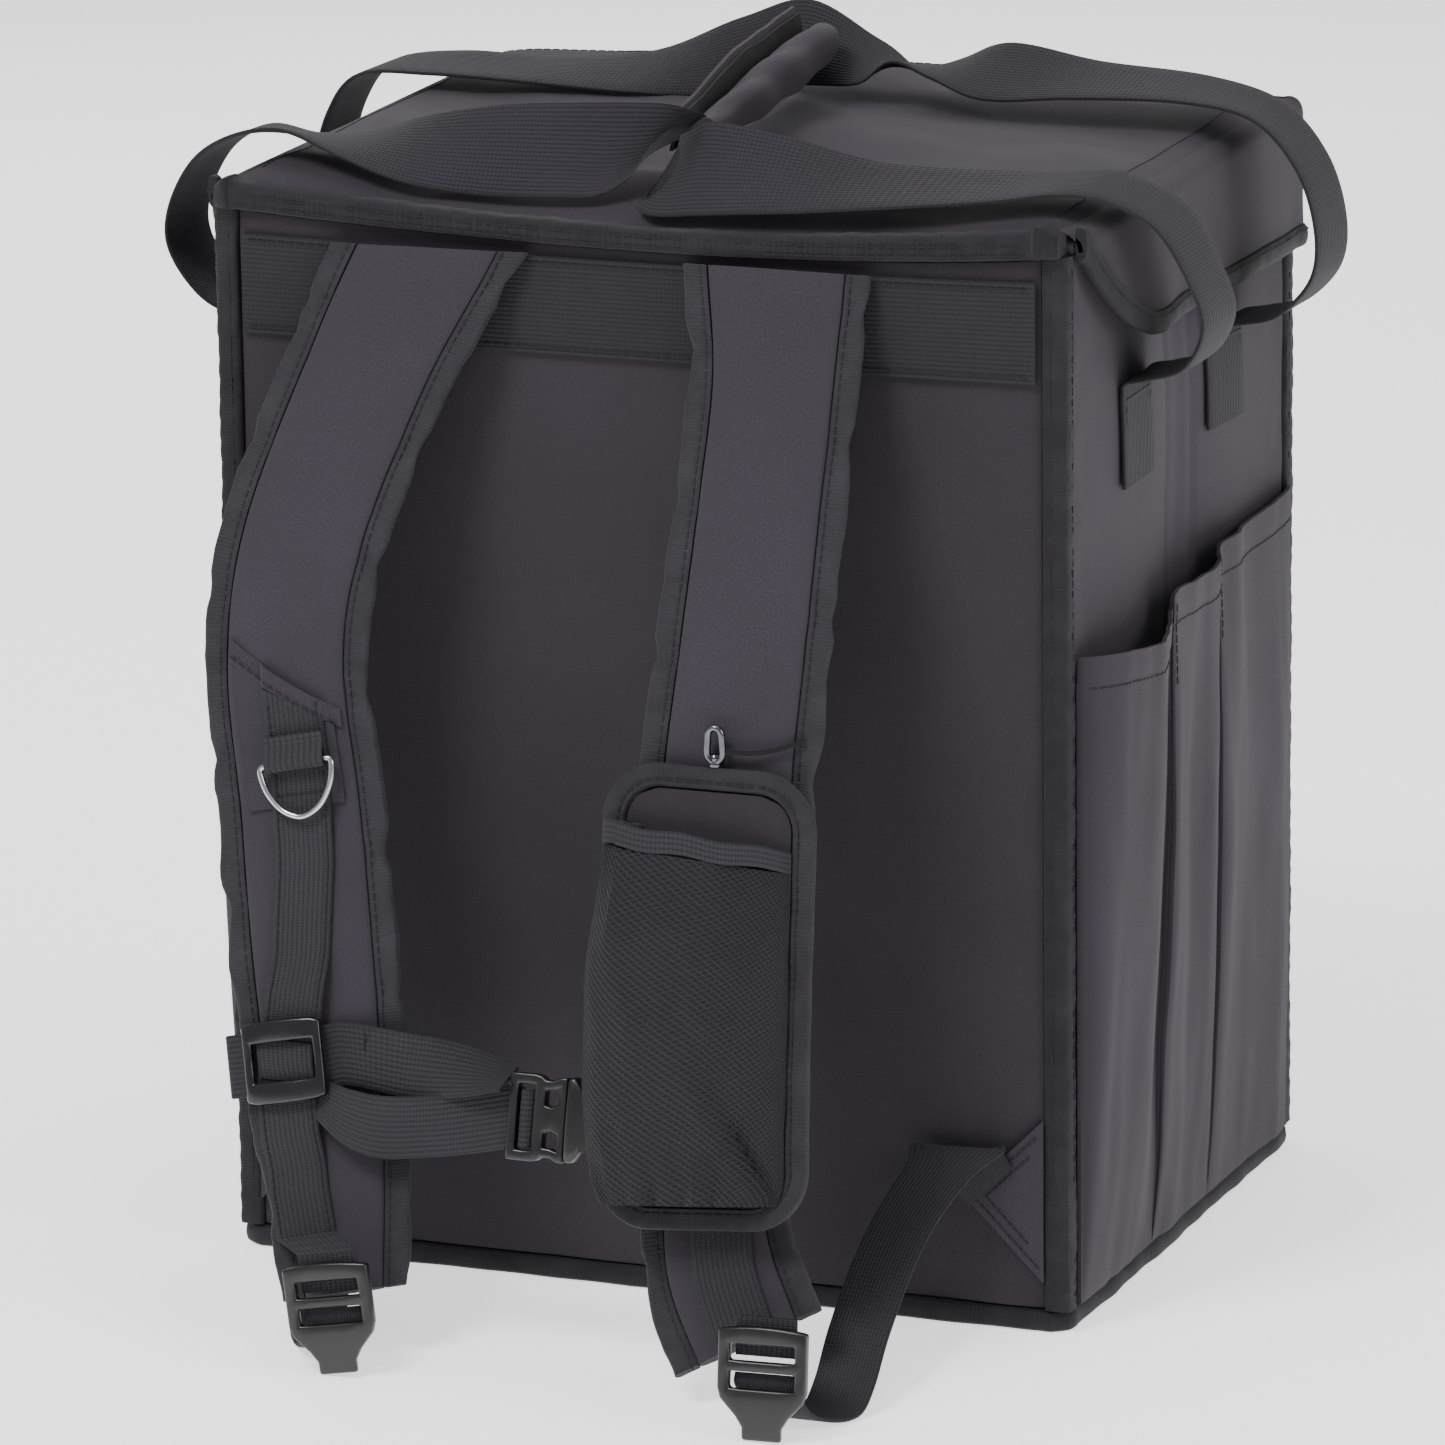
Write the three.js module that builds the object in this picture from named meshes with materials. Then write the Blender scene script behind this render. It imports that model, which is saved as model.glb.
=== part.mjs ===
// Insulated delivery backpack, millimetres, +Z up.
// Origin: middle of the base. +X is to the right when facing the strap panel, which faces -Y.
import * as THREE from "three";

// Named sizes
const BODY_WIDTH = 356;
const BODY_DEPTH = 280;
const BODY_HEIGHT = 432;
const WALL = 8;
const GAP = 0.35;
const CORNER = 9;
const BASE_WELT = 9;
const WALL_TOP_DROP = 2;
const LID_THICK = 9;
const LID_RISE = 8;
const LID_CROWN = 4;
const SKIRT_DROP = 47;
const SKIRT_THICK = 3;
const SKIRT_CLEAR = 2.2;
const SKIRT_TAPE = 9;
const HINGE_TAPE = 12;
const WEB = 25;
const WIDE_WEB = 40;
const WEB_THICK = 1.6;
const BAND_DROP = 11.5;
const PAD_WIDTH = 72;
const PAD_THICK = 8;
const PAD_TAPE = 10;
const PAD_TAPE_THICK = 4.6;
const STRAP_FLARE = 110;
const POUCH_WIDTH = 88;
const POUCH_TAPE = 9.5;
const POUCH_TAPE_THICK = 5.5;
const POUCH_BULGE = 17;
const POUCH_CORNER = 24;
const POCKET_THICK = 1.6;
const POCKET_BULGE = 15;
const POCKET_MOUTH = 276;
const HANDLE_LIFT = 24;
const HANDLE_SWING = 46;
const D_RING_WIDTH = 30;
const D_RING_WIRE = 2.5;
const SLIDER_SIZE = 34;
const BUCKLE_WIDTH = 34;
const BUCKLE_THICK = 9;
const LOCK_WIDTH = 36;
const LOCK_LENGTH = 41;
const LOCK_THICK = 4;
const CORD_DIAMETER = 2;
const ANCHOR_LEG = 47;
const ANCHOR_THICK = 2.2;
const END_CUT = 70;
const FOLD_DEPTH = 7;
const LID_PULL = 2.5;
const PANEL_DISH = 2.2;
const FRONT_SWELL = 3;
const SKIRT_FLARE = 6;
const SKIRT_TURN = 4;
const COVER_THICK = 0.8;
const COVER_INSET = 5.2;
const PAD_EDGE = 5;
const WEB_LIFT = 3.8;
const TAB_THICK = 1.2;
const SLIDER_THICK = 3.4;
const MALE_LENGTH = 24;
const FEMALE_LENGTH = 34;
const HOOK_WIRE = 2.2;
const HOOK_LENGTH = 15;
const NET_THICK = 1.3;
const NET_MOUTH = 30;
const ELASTIC_THICK = 1.6;
const PATCH_TALL = 42;
const WRAP_HEIGHT = 26;
const WRAP_THICK = 2.4;
// Shares
const PUCKER = 0.035;
const SLIDER_HEIGHT = 0.253;

const halfWidth = BODY_WIDTH / 2;
const halfDepth = BODY_DEPTH / 2;
const wallTop = BODY_HEIGHT - WALL_TOP_DROP;
const wallFoot = BASE_WELT + GAP;
const innerX = halfWidth - CORNER - GAP;
const innerY = halfDepth - CORNER - GAP;
const bandTop = BODY_HEIGHT - BAND_DROP;
const padMid = GAP * 2 + WEB_THICK + PAD_THICK / 2 + 0.5;

// Looks: colour, roughness, metalness
const CLOTH = { color: 0x4a464d, roughness: 0.9, metalness: 0 };
const PANEL = { color: 0x35323a, roughness: 0.9, metalness: 0 };
const TAPE = { color: 0x2b2a2e, roughness: 0.85, metalness: 0 };
const WEBBING = { color: 0x35353a, roughness: 0.85, metalness: 0 };
const MESH = { color: 0x232226, roughness: 0.9, metalness: 0 };
const PLASTIC = { color: 0x202126, roughness: 0.35, metalness: 0 };
const METAL = { color: 0xb9bcc2, roughness: 0.22, metalness: 1 };
const CORD = { color: 0x151517, roughness: 0.8, metalness: 0 };

const group = new THREE.Group();
const V = (x, y, z) => new THREE.Vector3(x, y, z);
const lerp = THREE.MathUtils.lerp;
const span = (n) => Array.from({ length: n + 1 }, (_, i) => i / n);
const hump = (t) => Math.sin(Math.PI * THREE.MathUtils.clamp(t, 0, 1));

// Adds one named solid, turning its faces outwards if its rows ran the other way.
function add(name, geometry, look) {
  const p = geometry.getAttribute("position");
  const index = geometry.index ? geometry.index.array : p.array.map((_, i) => i).slice(0, p.count);
  let volume = 0;
  const [a, b, c] = [V(), V(), V()];
  for (let i = 0; i < index.length; i += 3) {
    a.fromBufferAttribute(p, index[i]);
    b.fromBufferAttribute(p, index[i + 1]);
    c.fromBufferAttribute(p, index[i + 2]);
    volume += a.dot(b.cross(c));
  }
  if (volume < 0) {
    const turned = Array.from(index);
    for (let i = 0; i < turned.length; i += 3) {
      [turned[i + 1], turned[i + 2]] = [turned[i + 2], turned[i + 1]];
    }
    geometry.setIndex(turned);
  }
  const mesh = new THREE.Mesh(geometry, new THREE.MeshStandardMaterial(look));
  mesh.name = name;
  group.add(mesh);
  return mesh;
}

function geometryOf(points, faces) {
  const g = new THREE.BufferGeometry();
  g.setAttribute("position", new THREE.Float32BufferAttribute(points.flatMap((p) => [p.x, p.y, p.z]), 3));
  g.setIndex(faces.flat());
  g.computeVertexNormals();
  return g;
}

// A sheet with thickness: front and back are grids of points, rows along the length.
function slab(front, back) {
  const rows = front.length;
  const cols = front[0].length;
  const points = [...front.flat(), ...back.flat()];
  const f = (i, j) => i * cols + j;
  const b = (i, j) => rows * cols + f(i, j);
  const faces = [];
  const quad = (p, q, r, s) => faces.push([p, q, r], [p, r, s]);
  for (let i = 0; i < rows - 1; i++) {
    for (let j = 0; j < cols - 1; j++) {
      quad(f(i, j), f(i, j + 1), f(i + 1, j + 1), f(i + 1, j));
      quad(b(i, j), b(i + 1, j), b(i + 1, j + 1), b(i, j + 1));
    }
    quad(f(i, 0), f(i + 1, 0), b(i + 1, 0), b(i, 0));
    quad(f(i, cols - 1), b(i, cols - 1), b(i + 1, cols - 1), f(i + 1, cols - 1));
  }
  for (let j = 0; j < cols - 1; j++) {
    quad(f(0, j), b(0, j), b(0, j + 1), f(0, j + 1));
    quad(f(rows - 1, j), f(rows - 1, j + 1), b(rows - 1, j + 1), b(rows - 1, j));
  }
  return geometryOf(points, faces);
}

// A bar: rings of points in convex outlines, with flat ends or joined end to end.
function bar(rings, closed = false) {
  const n = rings[0].length;
  const faces = [];
  const last = closed ? rings.length : rings.length - 1;
  for (let i = 0; i < last; i++) {
    const next = (i + 1) % rings.length;
    for (let j = 0; j < n; j++) {
      const k = (j + 1) % n;
      faces.push([i * n + j, i * n + k, next * n + k], [i * n + j, next * n + k, next * n + j]);
    }
  }
  if (!closed) {
    const end = (rings.length - 1) * n;
    for (let j = 1; j < n - 1; j++) {
      faces.push([0, j + 1, j], [end, end + j, end + j + 1]);
    }
  }
  return geometryOf(rings.flat(), faces);
}

// Rows of numbers made smooth: a Catmull-Rom curve through every column.
function smooth(rows, steps) {
  const at = (i) => {
    if (i < 0) return rows[0].map((v, c) => 2 * v - rows[1][c]);
    if (i >= rows.length) return rows[rows.length - 1].map((v, c) => 2 * v - rows[rows.length - 2][c]);
    return rows[i];
  };
  const out = [];
  for (let i = 0; i < rows.length - 1; i++) {
    const [p, q, r, s] = [at(i - 1), at(i), at(i + 1), at(i + 2)];
    for (let k = 0; k < steps; k++) {
      const t = k / steps;
      out.push(q.map((v, c) => 0.5 * (2 * v + (r[c] - p[c]) * t
        + (2 * p[c] - 5 * v + 4 * r[c] - s[c]) * t * t + (3 * v - p[c] - 3 * r[c] + s[c]) * t * t * t)));
    }
  }
  out.push(rows[rows.length - 1]);
  return out;
}

// A path in space that strap pieces lie along: columns x, y, z, width. Its top end is cut level.
// place(s, u, h) gives the point at length s, u across to the right and h out of the front.
class Track {
  constructor(rows, side = V(1, 0, 0)) {
    this.rows = smooth(rows, 12);
    this.points = this.rows.map((r) => V(r[0], r[1], r[2]));
    this.lengths = [0];
    for (let i = 1; i < this.points.length; i++) {
      this.lengths.push(this.lengths[i - 1] + this.points[i].distanceTo(this.points[i - 1]));
    }
    this.length = this.lengths[this.lengths.length - 1];
    this.side = side;
    const first = this.tangent(0);
    this.skew = first.x / first.z;
  }
  find(s) {
    let i = 0;
    while (i < this.lengths.length - 2 && this.lengths[i + 1] < s) i += 1;
    return [i, (s - this.lengths[i]) / (this.lengths[i + 1] - this.lengths[i])];
  }
  width(s) {
    const [i, t] = this.find(s);
    return lerp(this.rows[i][3], this.rows[i + 1][3], t);
  }
  tangent(i) {
    const a = this.points[Math.max(0, i - 1)];
    const b = this.points[Math.min(this.points.length - 1, i + 1)];
    return b.clone().sub(a).normalize();
  }
  place(length, u, h) {
    const s = length - u * this.skew * (1 - THREE.MathUtils.smoothstep(length, 0, END_CUT));
    const [i, t] = this.find(s);
    const p = this.points[i].clone().lerp(this.points[i + 1], t);
    const along = this.tangent(i).lerp(this.tangent(i + 1), THREE.MathUtils.clamp(t, 0, 1)).normalize();
    const across = this.side.clone().addScaledVector(along, -this.side.dot(along)).normalize();
    const out = along.clone().cross(across);
    return p.addScaledVector(across, u).addScaledVector(out, h);
  }
  atHeight(z) {
    const i = this.points.findIndex((p, k) => k > 0 && p.z <= z);
    if (i < 0) return this.length;
    const [a, b] = [this.points[i - 1], this.points[i]];
    return lerp(this.lengths[i - 1], this.lengths[i], (a.z - z) / (a.z - b.z));
  }
}

// A layer on a track: columns(s) gives rows of [u, front h, back h] across at length s.
function layer(track, lengths, columns) {
  const front = lengths.map((s) => columns(s).map(([u, h]) => track.place(s, u, h)));
  const back = lengths.map((s) => columns(s).map(([u, , h]) => track.place(s, u, h)));
  return slab(front, back);
}

// A free ribbon: columns x, y, z, side x, side y, side z, width, all in space.
function ribbon(rows, steps, thick) {
  const path = smooth(rows, steps);
  const front = [];
  const back = [];
  path.forEach((r, i) => {
    const a = path[Math.max(0, i - 1)];
    const b = path[Math.min(path.length - 1, i + 1)];
    const along = V(b[0] - a[0], b[1] - a[1], b[2] - a[2]).normalize();
    const side = V(r[3], r[4], r[5]).normalize();
    const out = along.clone().cross(side).normalize();
    const edge = (u, h) => V(r[0], r[1], r[2]).addScaledVector(side, u).addScaledVector(out, h);
    front.push([-0.5, 0.5].map((u) => edge(u * r[6], thick / 2)));
    back.push([-0.5, 0.5].map((u) => edge(u * r[6], -thick / 2)));
  });
  return slab(front, back);
}

// Faces of the body: how far the outer face stands out of the plain box.
// Columns: share of half depth, outward offset as a share of the fold depth.
const SIDE_FOLD = [
  [-1, 0], [-0.75, 0.2], [-0.5, 0.25], [-0.25, -0.1], [-0.045, -0.75],
  [0.06, -1], [0.17, -0.75], [0.4, -0.35], [0.7, -0.15], [1, 0],
];
function across(table, at) {
  let i = 0;
  while (i < table.length - 2 && table[i + 1][0] < at) i += 1;
  const [a, b] = [table[i], table[i + 1]];
  return lerp(a[1], b[1], THREE.MathUtils.clamp((at - a[0]) / (b[0] - a[0]), 0, 1));
}
function sideOut(y, z) {
  const rise = z / BODY_HEIGHT;
  const fade = THREE.MathUtils.smoothstep(rise, 0, 0.12);
  const pull = THREE.MathUtils.smoothstep(rise, 0.8, 0.9) * LID_PULL;
  const fold = across(SIDE_FOLD, y / innerY) * FOLD_DEPTH * fade * (1 - 0.3 * rise);
  return fold - pull * hump((y / innerY + 1) / 2);
}
function backOut(x, z) {
  const u = (x / innerX + 1) / 2;
  const v = (z - wallFoot) / (wallTop - wallFoot);
  const middle = THREE.MathUtils.smoothstep(v, 0.12, 0.4) * (1 - THREE.MathUtils.smoothstep(v, 0.6, 0.85));
  return -PANEL_DISH * hump(u) * middle;
}
function frontOut(x, z) {
  const u = (x / innerX + 1) / 2;
  const v = (z - wallFoot) / (wallTop - wallFoot);
  const pull = THREE.MathUtils.smoothstep(v, 0.8, 0.9) * LID_PULL * hump(u);
  return FRONT_SWELL * hump(u) * hump(v * 1.1) - pull;
}

// Body walls: their rows are at these heights, and pieces that lie on them follow the same rows.
const wallRows = span(9).map((t) => lerp(wallFoot, wallTop, t));
function onRows(face, a, z) {
  const at = THREE.MathUtils.clamp((z - wallFoot) / (wallTop - wallFoot), 0, 0.9999) * (wallRows.length - 1);
  const i = Math.floor(at);
  return lerp(face(a, wallRows[i]), face(a, wallRows[i + 1]), at - i);
}
const sideFace = (y, z) => onRows(sideOut, y, z);
const backFace = (x, z) => onRows(backOut, x, z);
function wall(name, along, face, look) {
  const front = wallRows.map((z) => along.map((a) => face(a, z, 0)));
  const back = wallRows.map((z) => along.map((a) => face(a, z, WALL)));
  add(name, slab(front, back), look);
}
const sideStops = SIDE_FOLD.map(([share]) => share * innerY);
const wideStops = span(10).map((t) => lerp(-innerX, innerX, t));
wall("back_panel", wideStops, (x, z, deep) => V(x, -halfDepth - backOut(x, z) + deep, z), PANEL);
wall("front_panel", wideStops, (x, z, deep) => V(x, halfDepth + frontOut(x, z) - deep, z), CLOTH);
wall("side_panel_right", sideStops, (y, z, deep) => V(halfWidth + sideOut(y, z) - deep, y, z), CLOTH);
wall("side_panel_left", sideStops, (y, z, deep) => V(-halfWidth - sideOut(y, z) + deep, y, z), CLOTH);
{
  const reach = 0.998;
  const spot = (u, v, z) => V(lerp(-innerX, innerX, u) * reach, lerp(-innerY, innerY, v) * reach, z);
  const face = (z) => span(4).map((v) => span(4).map((u) => spot(u, v, z)));
  add("base_panel", slab(face(WALL), face(0)), PANEL);
}

// Upright corner tapes: outline in outward steps from the corner.
const CORNER_SHAPE = [
  [-1, -1], [0.04, -1], [0.15, -0.78], [0.15, -0.1], [-0.1, 0.15], [-0.78, 0.15], [-1, 0.04],
];
const CORNERS = [["back_left", -1, -1], ["back_right", 1, -1], ["front_left", -1, 1], ["front_right", 1, 1]];
for (const [where, sx, sy] of CORNERS) {
  const rings = span(14).map((t) => CORNER_SHAPE.map(([a, b]) => {
    const z = lerp(wallFoot, wallTop, t);
    const ripple = 0.03 * Math.sin(t * 21 + sx + sy * 2);
    const grow = (v) => (v > 0 ? v + ripple : v) * CORNER;
    return V(sx * (halfWidth + grow(a)), sy * (halfDepth + grow(b)), z);
  }));
  add("edge_binding_" + where, bar(rings), TAPE);
}

// Base welt: a soft loop round the bottom edge. Columns: outward share of the tape, height share.
const WELT_SHAPE = [[0, 0], [1.08, 0], [1.22, 0.3], [1.2, 0.75], [1, 1], [0, 1]];
{
  const round = 1;
  const cx = halfWidth - BASE_WELT - round;
  const cy = halfDepth - BASE_WELT - round;
  const loop = [];
  const turns = [[1, -1], [1, 1], [-1, 1], [-1, -1]];
  turns.forEach(([sx, sy], k) => {
    const [nx, ny] = turns[(k + 1) % 4];
    for (const t of [0, 0.5, 1]) {
      const angle = Math.PI / 2 * (k - 1 + t);
      loop.push([sx * cx, sy * cy, Math.cos(angle), Math.sin(angle)]);
    }
    const angle = Math.PI / 2 * k;
    for (const t of [0.2, 0.4, 0.6, 0.8]) {
      loop.push([lerp(sx, nx, t) * cx, lerp(sy, ny, t) * cy, Math.cos(angle), Math.sin(angle)]);
    }
  });
  const rings = loop.map(([x, y, ox, oy], i) => WELT_SHAPE.map(([out, up]) => {
    const ripple = out > 0 ? 0.12 * Math.sin(i * 2.4) : 0;
    const reach = round + (out + ripple) * BASE_WELT;
    return V(x + ox * reach, y + oy * reach, up * BASE_WELT);
  }));
  add("base_binding", bar(rings, true), TAPE);
}

// Lid
const hingeY = -halfDepth + HINGE_TAPE * 0.45;
const lidEdgeX = halfWidth + SKIRT_CLEAR - GAP;
const lidEdgeY = halfDepth + SKIRT_CLEAR - GAP;
function lidUnder(x, y) {
  const back = (y - hingeY) / (lidEdgeY - hingeY);
  const u = (x / lidEdgeX + 1) / 2;
  return BODY_HEIGHT + 0.6 + LID_RISE * back + LID_CROWN * hump(u) * THREE.MathUtils.smoothstep(back, 0, 0.5);
}
{
  const cut = 4;
  const along = [...span(7).map((v) => lerp(hingeY + GAP, lidEdgeY - cut, v)), lidEdgeY];
  const face = (lift) => along.map((y, i) => span(10).map((u) => {
    const reach = lidEdgeX - (i === along.length - 1 ? cut : 0);
    const x = lerp(-reach, reach, u);
    return V(x, y, lidUnder(x, y) + lift);
  }));
  add("lid_top", slab(face(LID_THICK), face(0)), CLOTH);
}

// Hinge tape across the strap panel's top, pinched at both ends.
// Columns: share of half width, outward swell share, height share.
const HINGE_LINE = [
  [-1, 0.05, 0.75], [-0.97, 0.14, 1.05], [-0.92, 0.04, 0.95], [-0.6, 0, 0.96], [-0.2, 0, 1],
  [0.2, 0.04, 0.97], [0.6, 0, 1], [0.9, 0.03, 0.96], [0.95, 0.18, 1.12], [0.98, 0.12, 0.9],
  [1, 0.05, 0.7],
];
{
  const section = [[-0.45, 0.04], [0.28, 0.04], [0.36, 0.3], [0.36, 0.75], [0.24, 1], [-0.45, 1]];
  const rings = HINGE_LINE.map(([share, swell, tall]) => section.map(([out, up]) => {
    const reach = out > 0 ? out + swell : out;
    const z = wallTop + 0.35 + up * tall * HINGE_TAPE;
    return V(share * (halfWidth - 1), -halfDepth - reach * HINGE_TAPE, z);
  }));
  add("hinge_binding", bar(rings), TAPE);
}

// Lid skirt: one soft wall round three sides. Columns: share of half depth (-1 at the hinge, 1 at the
// front), outward flare share of the near half, lower edge lift share.
const SKIRT_SIDE = [
  [-0.93, 0.1, 0.86], [-0.86, 0.55, 0.62], [-0.72, 0.95, 0.32], [-0.5, 1, 0.06], [-0.3, 0.7, 0],
  [-0.12, 0.15, 0], [0, 0.1, 0], [0.35, 0.2, 0], [0.7, 0.15, 0], [0.94, 0, 0],
];
{
  const skirtX = halfWidth + SKIRT_CLEAR;
  const skirtY = halfDepth + SKIRT_CLEAR;
  const path = SKIRT_SIDE.map(([share, flare, lift]) => ({
    x: skirtX, y: share * halfDepth, ox: 1, oy: 0, flare: flare * SKIRT_FLARE, lift,
  }));
  for (const turn of [0, 30, 60, 90]) {
    const a = turn * Math.PI / 180;
    const [ox, oy] = [Math.cos(a), Math.sin(a)];
    const [x, y] = [skirtX - SKIRT_TURN * (1 - ox), skirtY - SKIRT_TURN * (1 - oy)];
    path.push({ x, y, ox, oy, flare: 0.4, lift: 0 });
  }
  for (const share of [0.8, 0.4]) {
    path.push({ x: share * halfWidth, y: skirtY, ox: 0, oy: 1, flare: 2, lift: 0 });
  }
  const far = path.map((p) => ({ ...p, x: -p.x, ox: -p.ox })).reverse();
  const around = [...path, { x: 0, y: skirtY, ox: 0, oy: 1, flare: 1, lift: 0 }, ...far];
  const low = (p) => BODY_HEIGHT - SKIRT_DROP + p.lift * (SKIRT_DROP + SKIRT_TAPE * 0.2);
  const top = (p) => {
    const x = THREE.MathUtils.clamp(p.x, -lidEdgeX, lidEdgeX);
    return lidUnder(x, Math.min(p.y, lidEdgeY)) + LID_THICK - 1.2;
  };
  const at = (p, z, deep) => {
    const down = Math.max(0, (top(p) - z) / (top(p) - low(p)));
    const out = p.flare * Math.pow(down, 0.8) + deep;
    return V(p.x + p.ox * out, p.y + p.oy * out, z);
  };
  const foot = (p) => low(p) + SKIRT_TAPE + GAP * 2.5;
  const skirtRows = (deep) => around.map((p) => span(4).map((t) => at(p, lerp(top(p), foot(p), t), deep)));
  add("lid_skirt", slab(skirtRows(SKIRT_THICK), skirtRows(0)), CLOTH);
  const rings = around.map((p) => {
    const z = low(p);
    const out = (t, deep) => at(p, z + t * SKIRT_TAPE, deep);
    return [out(0.15, 0), out(0, SKIRT_THICK * 0.3), out(0.1, SKIRT_THICK * 1.15), out(0.85, SKIRT_THICK * 1.3),
      out(1, SKIRT_THICK), out(1, 0)];
  });
  add("lid_skirt_binding", bar(rings), TAPE);
}

// Strap panel trim
{
  const heights = span(2).map((t) => bandTop - t * WIDE_WEB);
  const stops = wideStops.map((x) => x * (1 - 2 / innerX));
  const spot = (x, z, deep) => V(x, -halfDepth - backFace(x, z) - GAP - deep, z);
  const rows = (deep) => heights.map((z) => stops.map((x) => spot(x, z, deep)));
  add("webbing_band", slab(rows(WEB_THICK), rows(0)), WEBBING);
}
for (const [where, s] of [["left", -1], ["right", 1]]) {
  // A right-angled triangle with its long side along the corner tape
  const long = ANCHOR_LEG * 1.4;
  const shape = new THREE.Shape([
    new THREE.Vector2(0, 0), new THREE.Vector2(0, long), new THREE.Vector2(-s * long / 2, long / 2),
  ]);
  const g = new THREE.ExtrudeGeometry(shape, { depth: ANCHOR_THICK, bevelEnabled: false });
  g.rotateX(Math.PI / 2);
  g.translate(s * innerX, -halfDepth - GAP, BASE_WELT + 12);
  add("anchor_patch_" + where, g, CLOTH);
}

// Shoulder straps. Columns: share of half width, share of the flare in front of the panel,
// share of body height, share of pad width.
const PAD_LEFT = [
  [-0.472, -0.016, 0.972, 1.05], [-0.584, 0.104, 0.868, 1], [-0.697, 0.304, 0.718, 0.99],
  [-0.719, 0.413, 0.602, 0.98], [-0.663, 0.513, 0.475, 1], [-0.618, 0.604, 0.359, 1.01],
  [-0.567, 0.704, 0.243, 0.97], [-0.5, 0.849, 0.134, 0.84], [-0.449, 0.995, 0.056, 0.74],
];
const PAD_RIGHT = [
  [0.351, -0.017, 0.972, 1.08], [0.376, 0.122, 0.88, 0.98], [0.388, 0.313, 0.778, 0.98],
  [0.376, 0.449, 0.648, 1], [0.354, 0.54, 0.509, 1.02], [0.36, 0.613, 0.37, 1],
  [0.376, 0.722, 0.255, 0.9], [0.388, 0.831, 0.174, 0.85], [0.427, 0.94, 0.116, 0.88],
  [0.522, 1.067, 0.058, 0.87],
];
const trackOf = (rows) => new Track(rows.map(([x, out, z, w]) => [
  x * halfWidth, -halfDepth - padMid - out * STRAP_FLARE, z * BODY_HEIGHT, w * PAD_WIDTH,
]));
function stations(from, to, step) {
  const n = Math.max(2, Math.round((to - from) / step));
  return span(n).map((t) => lerp(from, to, t));
}
function pad(where, track) {
  const edge = (s) => track.width(s) / 2 - PAD_TAPE;
  const half = PAD_THICK / 2;
  const lengths = stations(0.5, track.length - 0.5, 21);
  const puff = (s) => half * (0.72 + 0.28 * THREE.MathUtils.smoothstep(s, 0, 40));
  add("shoulder_pad_" + where, layer(track, lengths, (s) => {
    const w = edge(s) - GAP;
    const h = puff(s);
    const flat = w - PAD_EDGE;
    return [[-w, h * 0.5, -h * 0.5], [-flat, h, -h], [0, h, -h], [flat, h, -h], [w, h * 0.5, -h * 0.5]];
  }), CLOTH);
  const tape = (name, sign) => {
    const rings = lengths.map((s, i) => {
      const a = edge(s);
      const pinch = 1 - PUCKER * 5 * (i % 3 === 1 ? 1 : 0);
      const b = track.width(s) / 2 * (1 + PUCKER * Math.sin(i * 1.9));
      const h = PAD_TAPE_THICK / 2 * pinch;
      const outline = [[a, -h * 0.8], [b - 1.5, -h], [b, -h * 0.3], [b, h * 0.3], [b - 1.5, h], [a, h * 0.8]];
      return outline.map(([u, k]) => track.place(s, u * sign, k));
    });
    add(name, bar(rings), TAPE);
  };
  tape("pad_binding_" + where + "_left", -1);
  tape("pad_binding_" + where + "_right", 1);
}
const left = trackOf(PAD_LEFT);
const right = trackOf(PAD_RIGHT);
pad("left", left);
pad("right", right);

// Layers over the pads, counted in heights above the pad's middle.
const onPad = PAD_THICK / 2 + GAP;
const overCover = onPad + COVER_THICK + GAP;
const sliderAt = left.atHeight(SLIDER_HEIGHT * BODY_HEIGHT);
const coverEnd = left.atHeight(0.475 * BODY_HEIGHT);
{
  // Cover on the left pad: its top edge runs on the slant.
  const topLeft = left.atHeight(0.606 * BODY_HEIGHT);
  const topRight = left.atHeight(0.541 * BODY_HEIGHT);
  const rows = (h) => span(4).map((t) => [-1, -0.5, 0, 0.5, 1].map((a) => {
    const start = lerp(topLeft, topRight, (a + 1) / 2);
    const s = lerp(start, coverEnd, t);
    const w = left.width(s) / 2 - PAD_TAPE - COVER_INSET;
    return left.place(s, a * w, h);
  }));
  add("pad_cover_left", slab(rows(onPad + COVER_THICK), rows(onPad)), CLOTH);
}
const out = (x, flare, z) => V(x * halfWidth, -halfDepth - flare * STRAP_FLARE, z * BODY_HEIGHT);
// Where the ladder locks hang: top of the back face, then the tip.
const LOCK_SPOTS = {
  left: [out(-0.436, 1.25, 0.083), out(-0.444, 1.29, 0.004)],
  right: [out(0.626, 1.395, 0.081), out(0.637, 1.45, 0.004)],
};
// Ladder locks at the foot of each strap, each with the frame its webbing is laid in
const lockTilt = { left: V(1, 0.05, 0.17), right: V(1, 0, 0.03) };
const lockFrames = {};
for (const where of ["left", "right"]) {
  const [topSpot, tip] = LOCK_SPOTS[where];
  const w = LOCK_WIDTH / 2;
  const long = LOCK_LENGTH;
  const half = [[0.5, 2.2], [0.92, 0], [1, -2], [0.94, -long * 0.62], [0.55, -long * 0.78], [0.42, -long]];
  const outline = [...half.map(([x, y]) => [x * w, y]), ...half.map(([x, y]) => [-x * w, y]).reverse()];
  const upper = [-w * 0.74, -long * 0.26, w * 0.74, -long * 0.1];
  const lower = [-w * 0.72, -long * 0.52, w * 0.72, -long * 0.36];
  const g = plate(outline, [upper, lower], LOCK_THICK, 0.8);
  const frame = stand(topSpot, lockTilt[where], topSpot.clone().sub(tip));
  g.applyMatrix4(frame);
  g.computeBoundingBox();
  const lift = Math.max(0, -g.boundingBox.min.z);
  g.translate(0, 0, lift);
  lockFrames[where] = new THREE.Matrix4().makeTranslation(0, 0, lift).multiply(frame);
  add("ladder_lock_" + where, g, PLASTIC);
}
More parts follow.
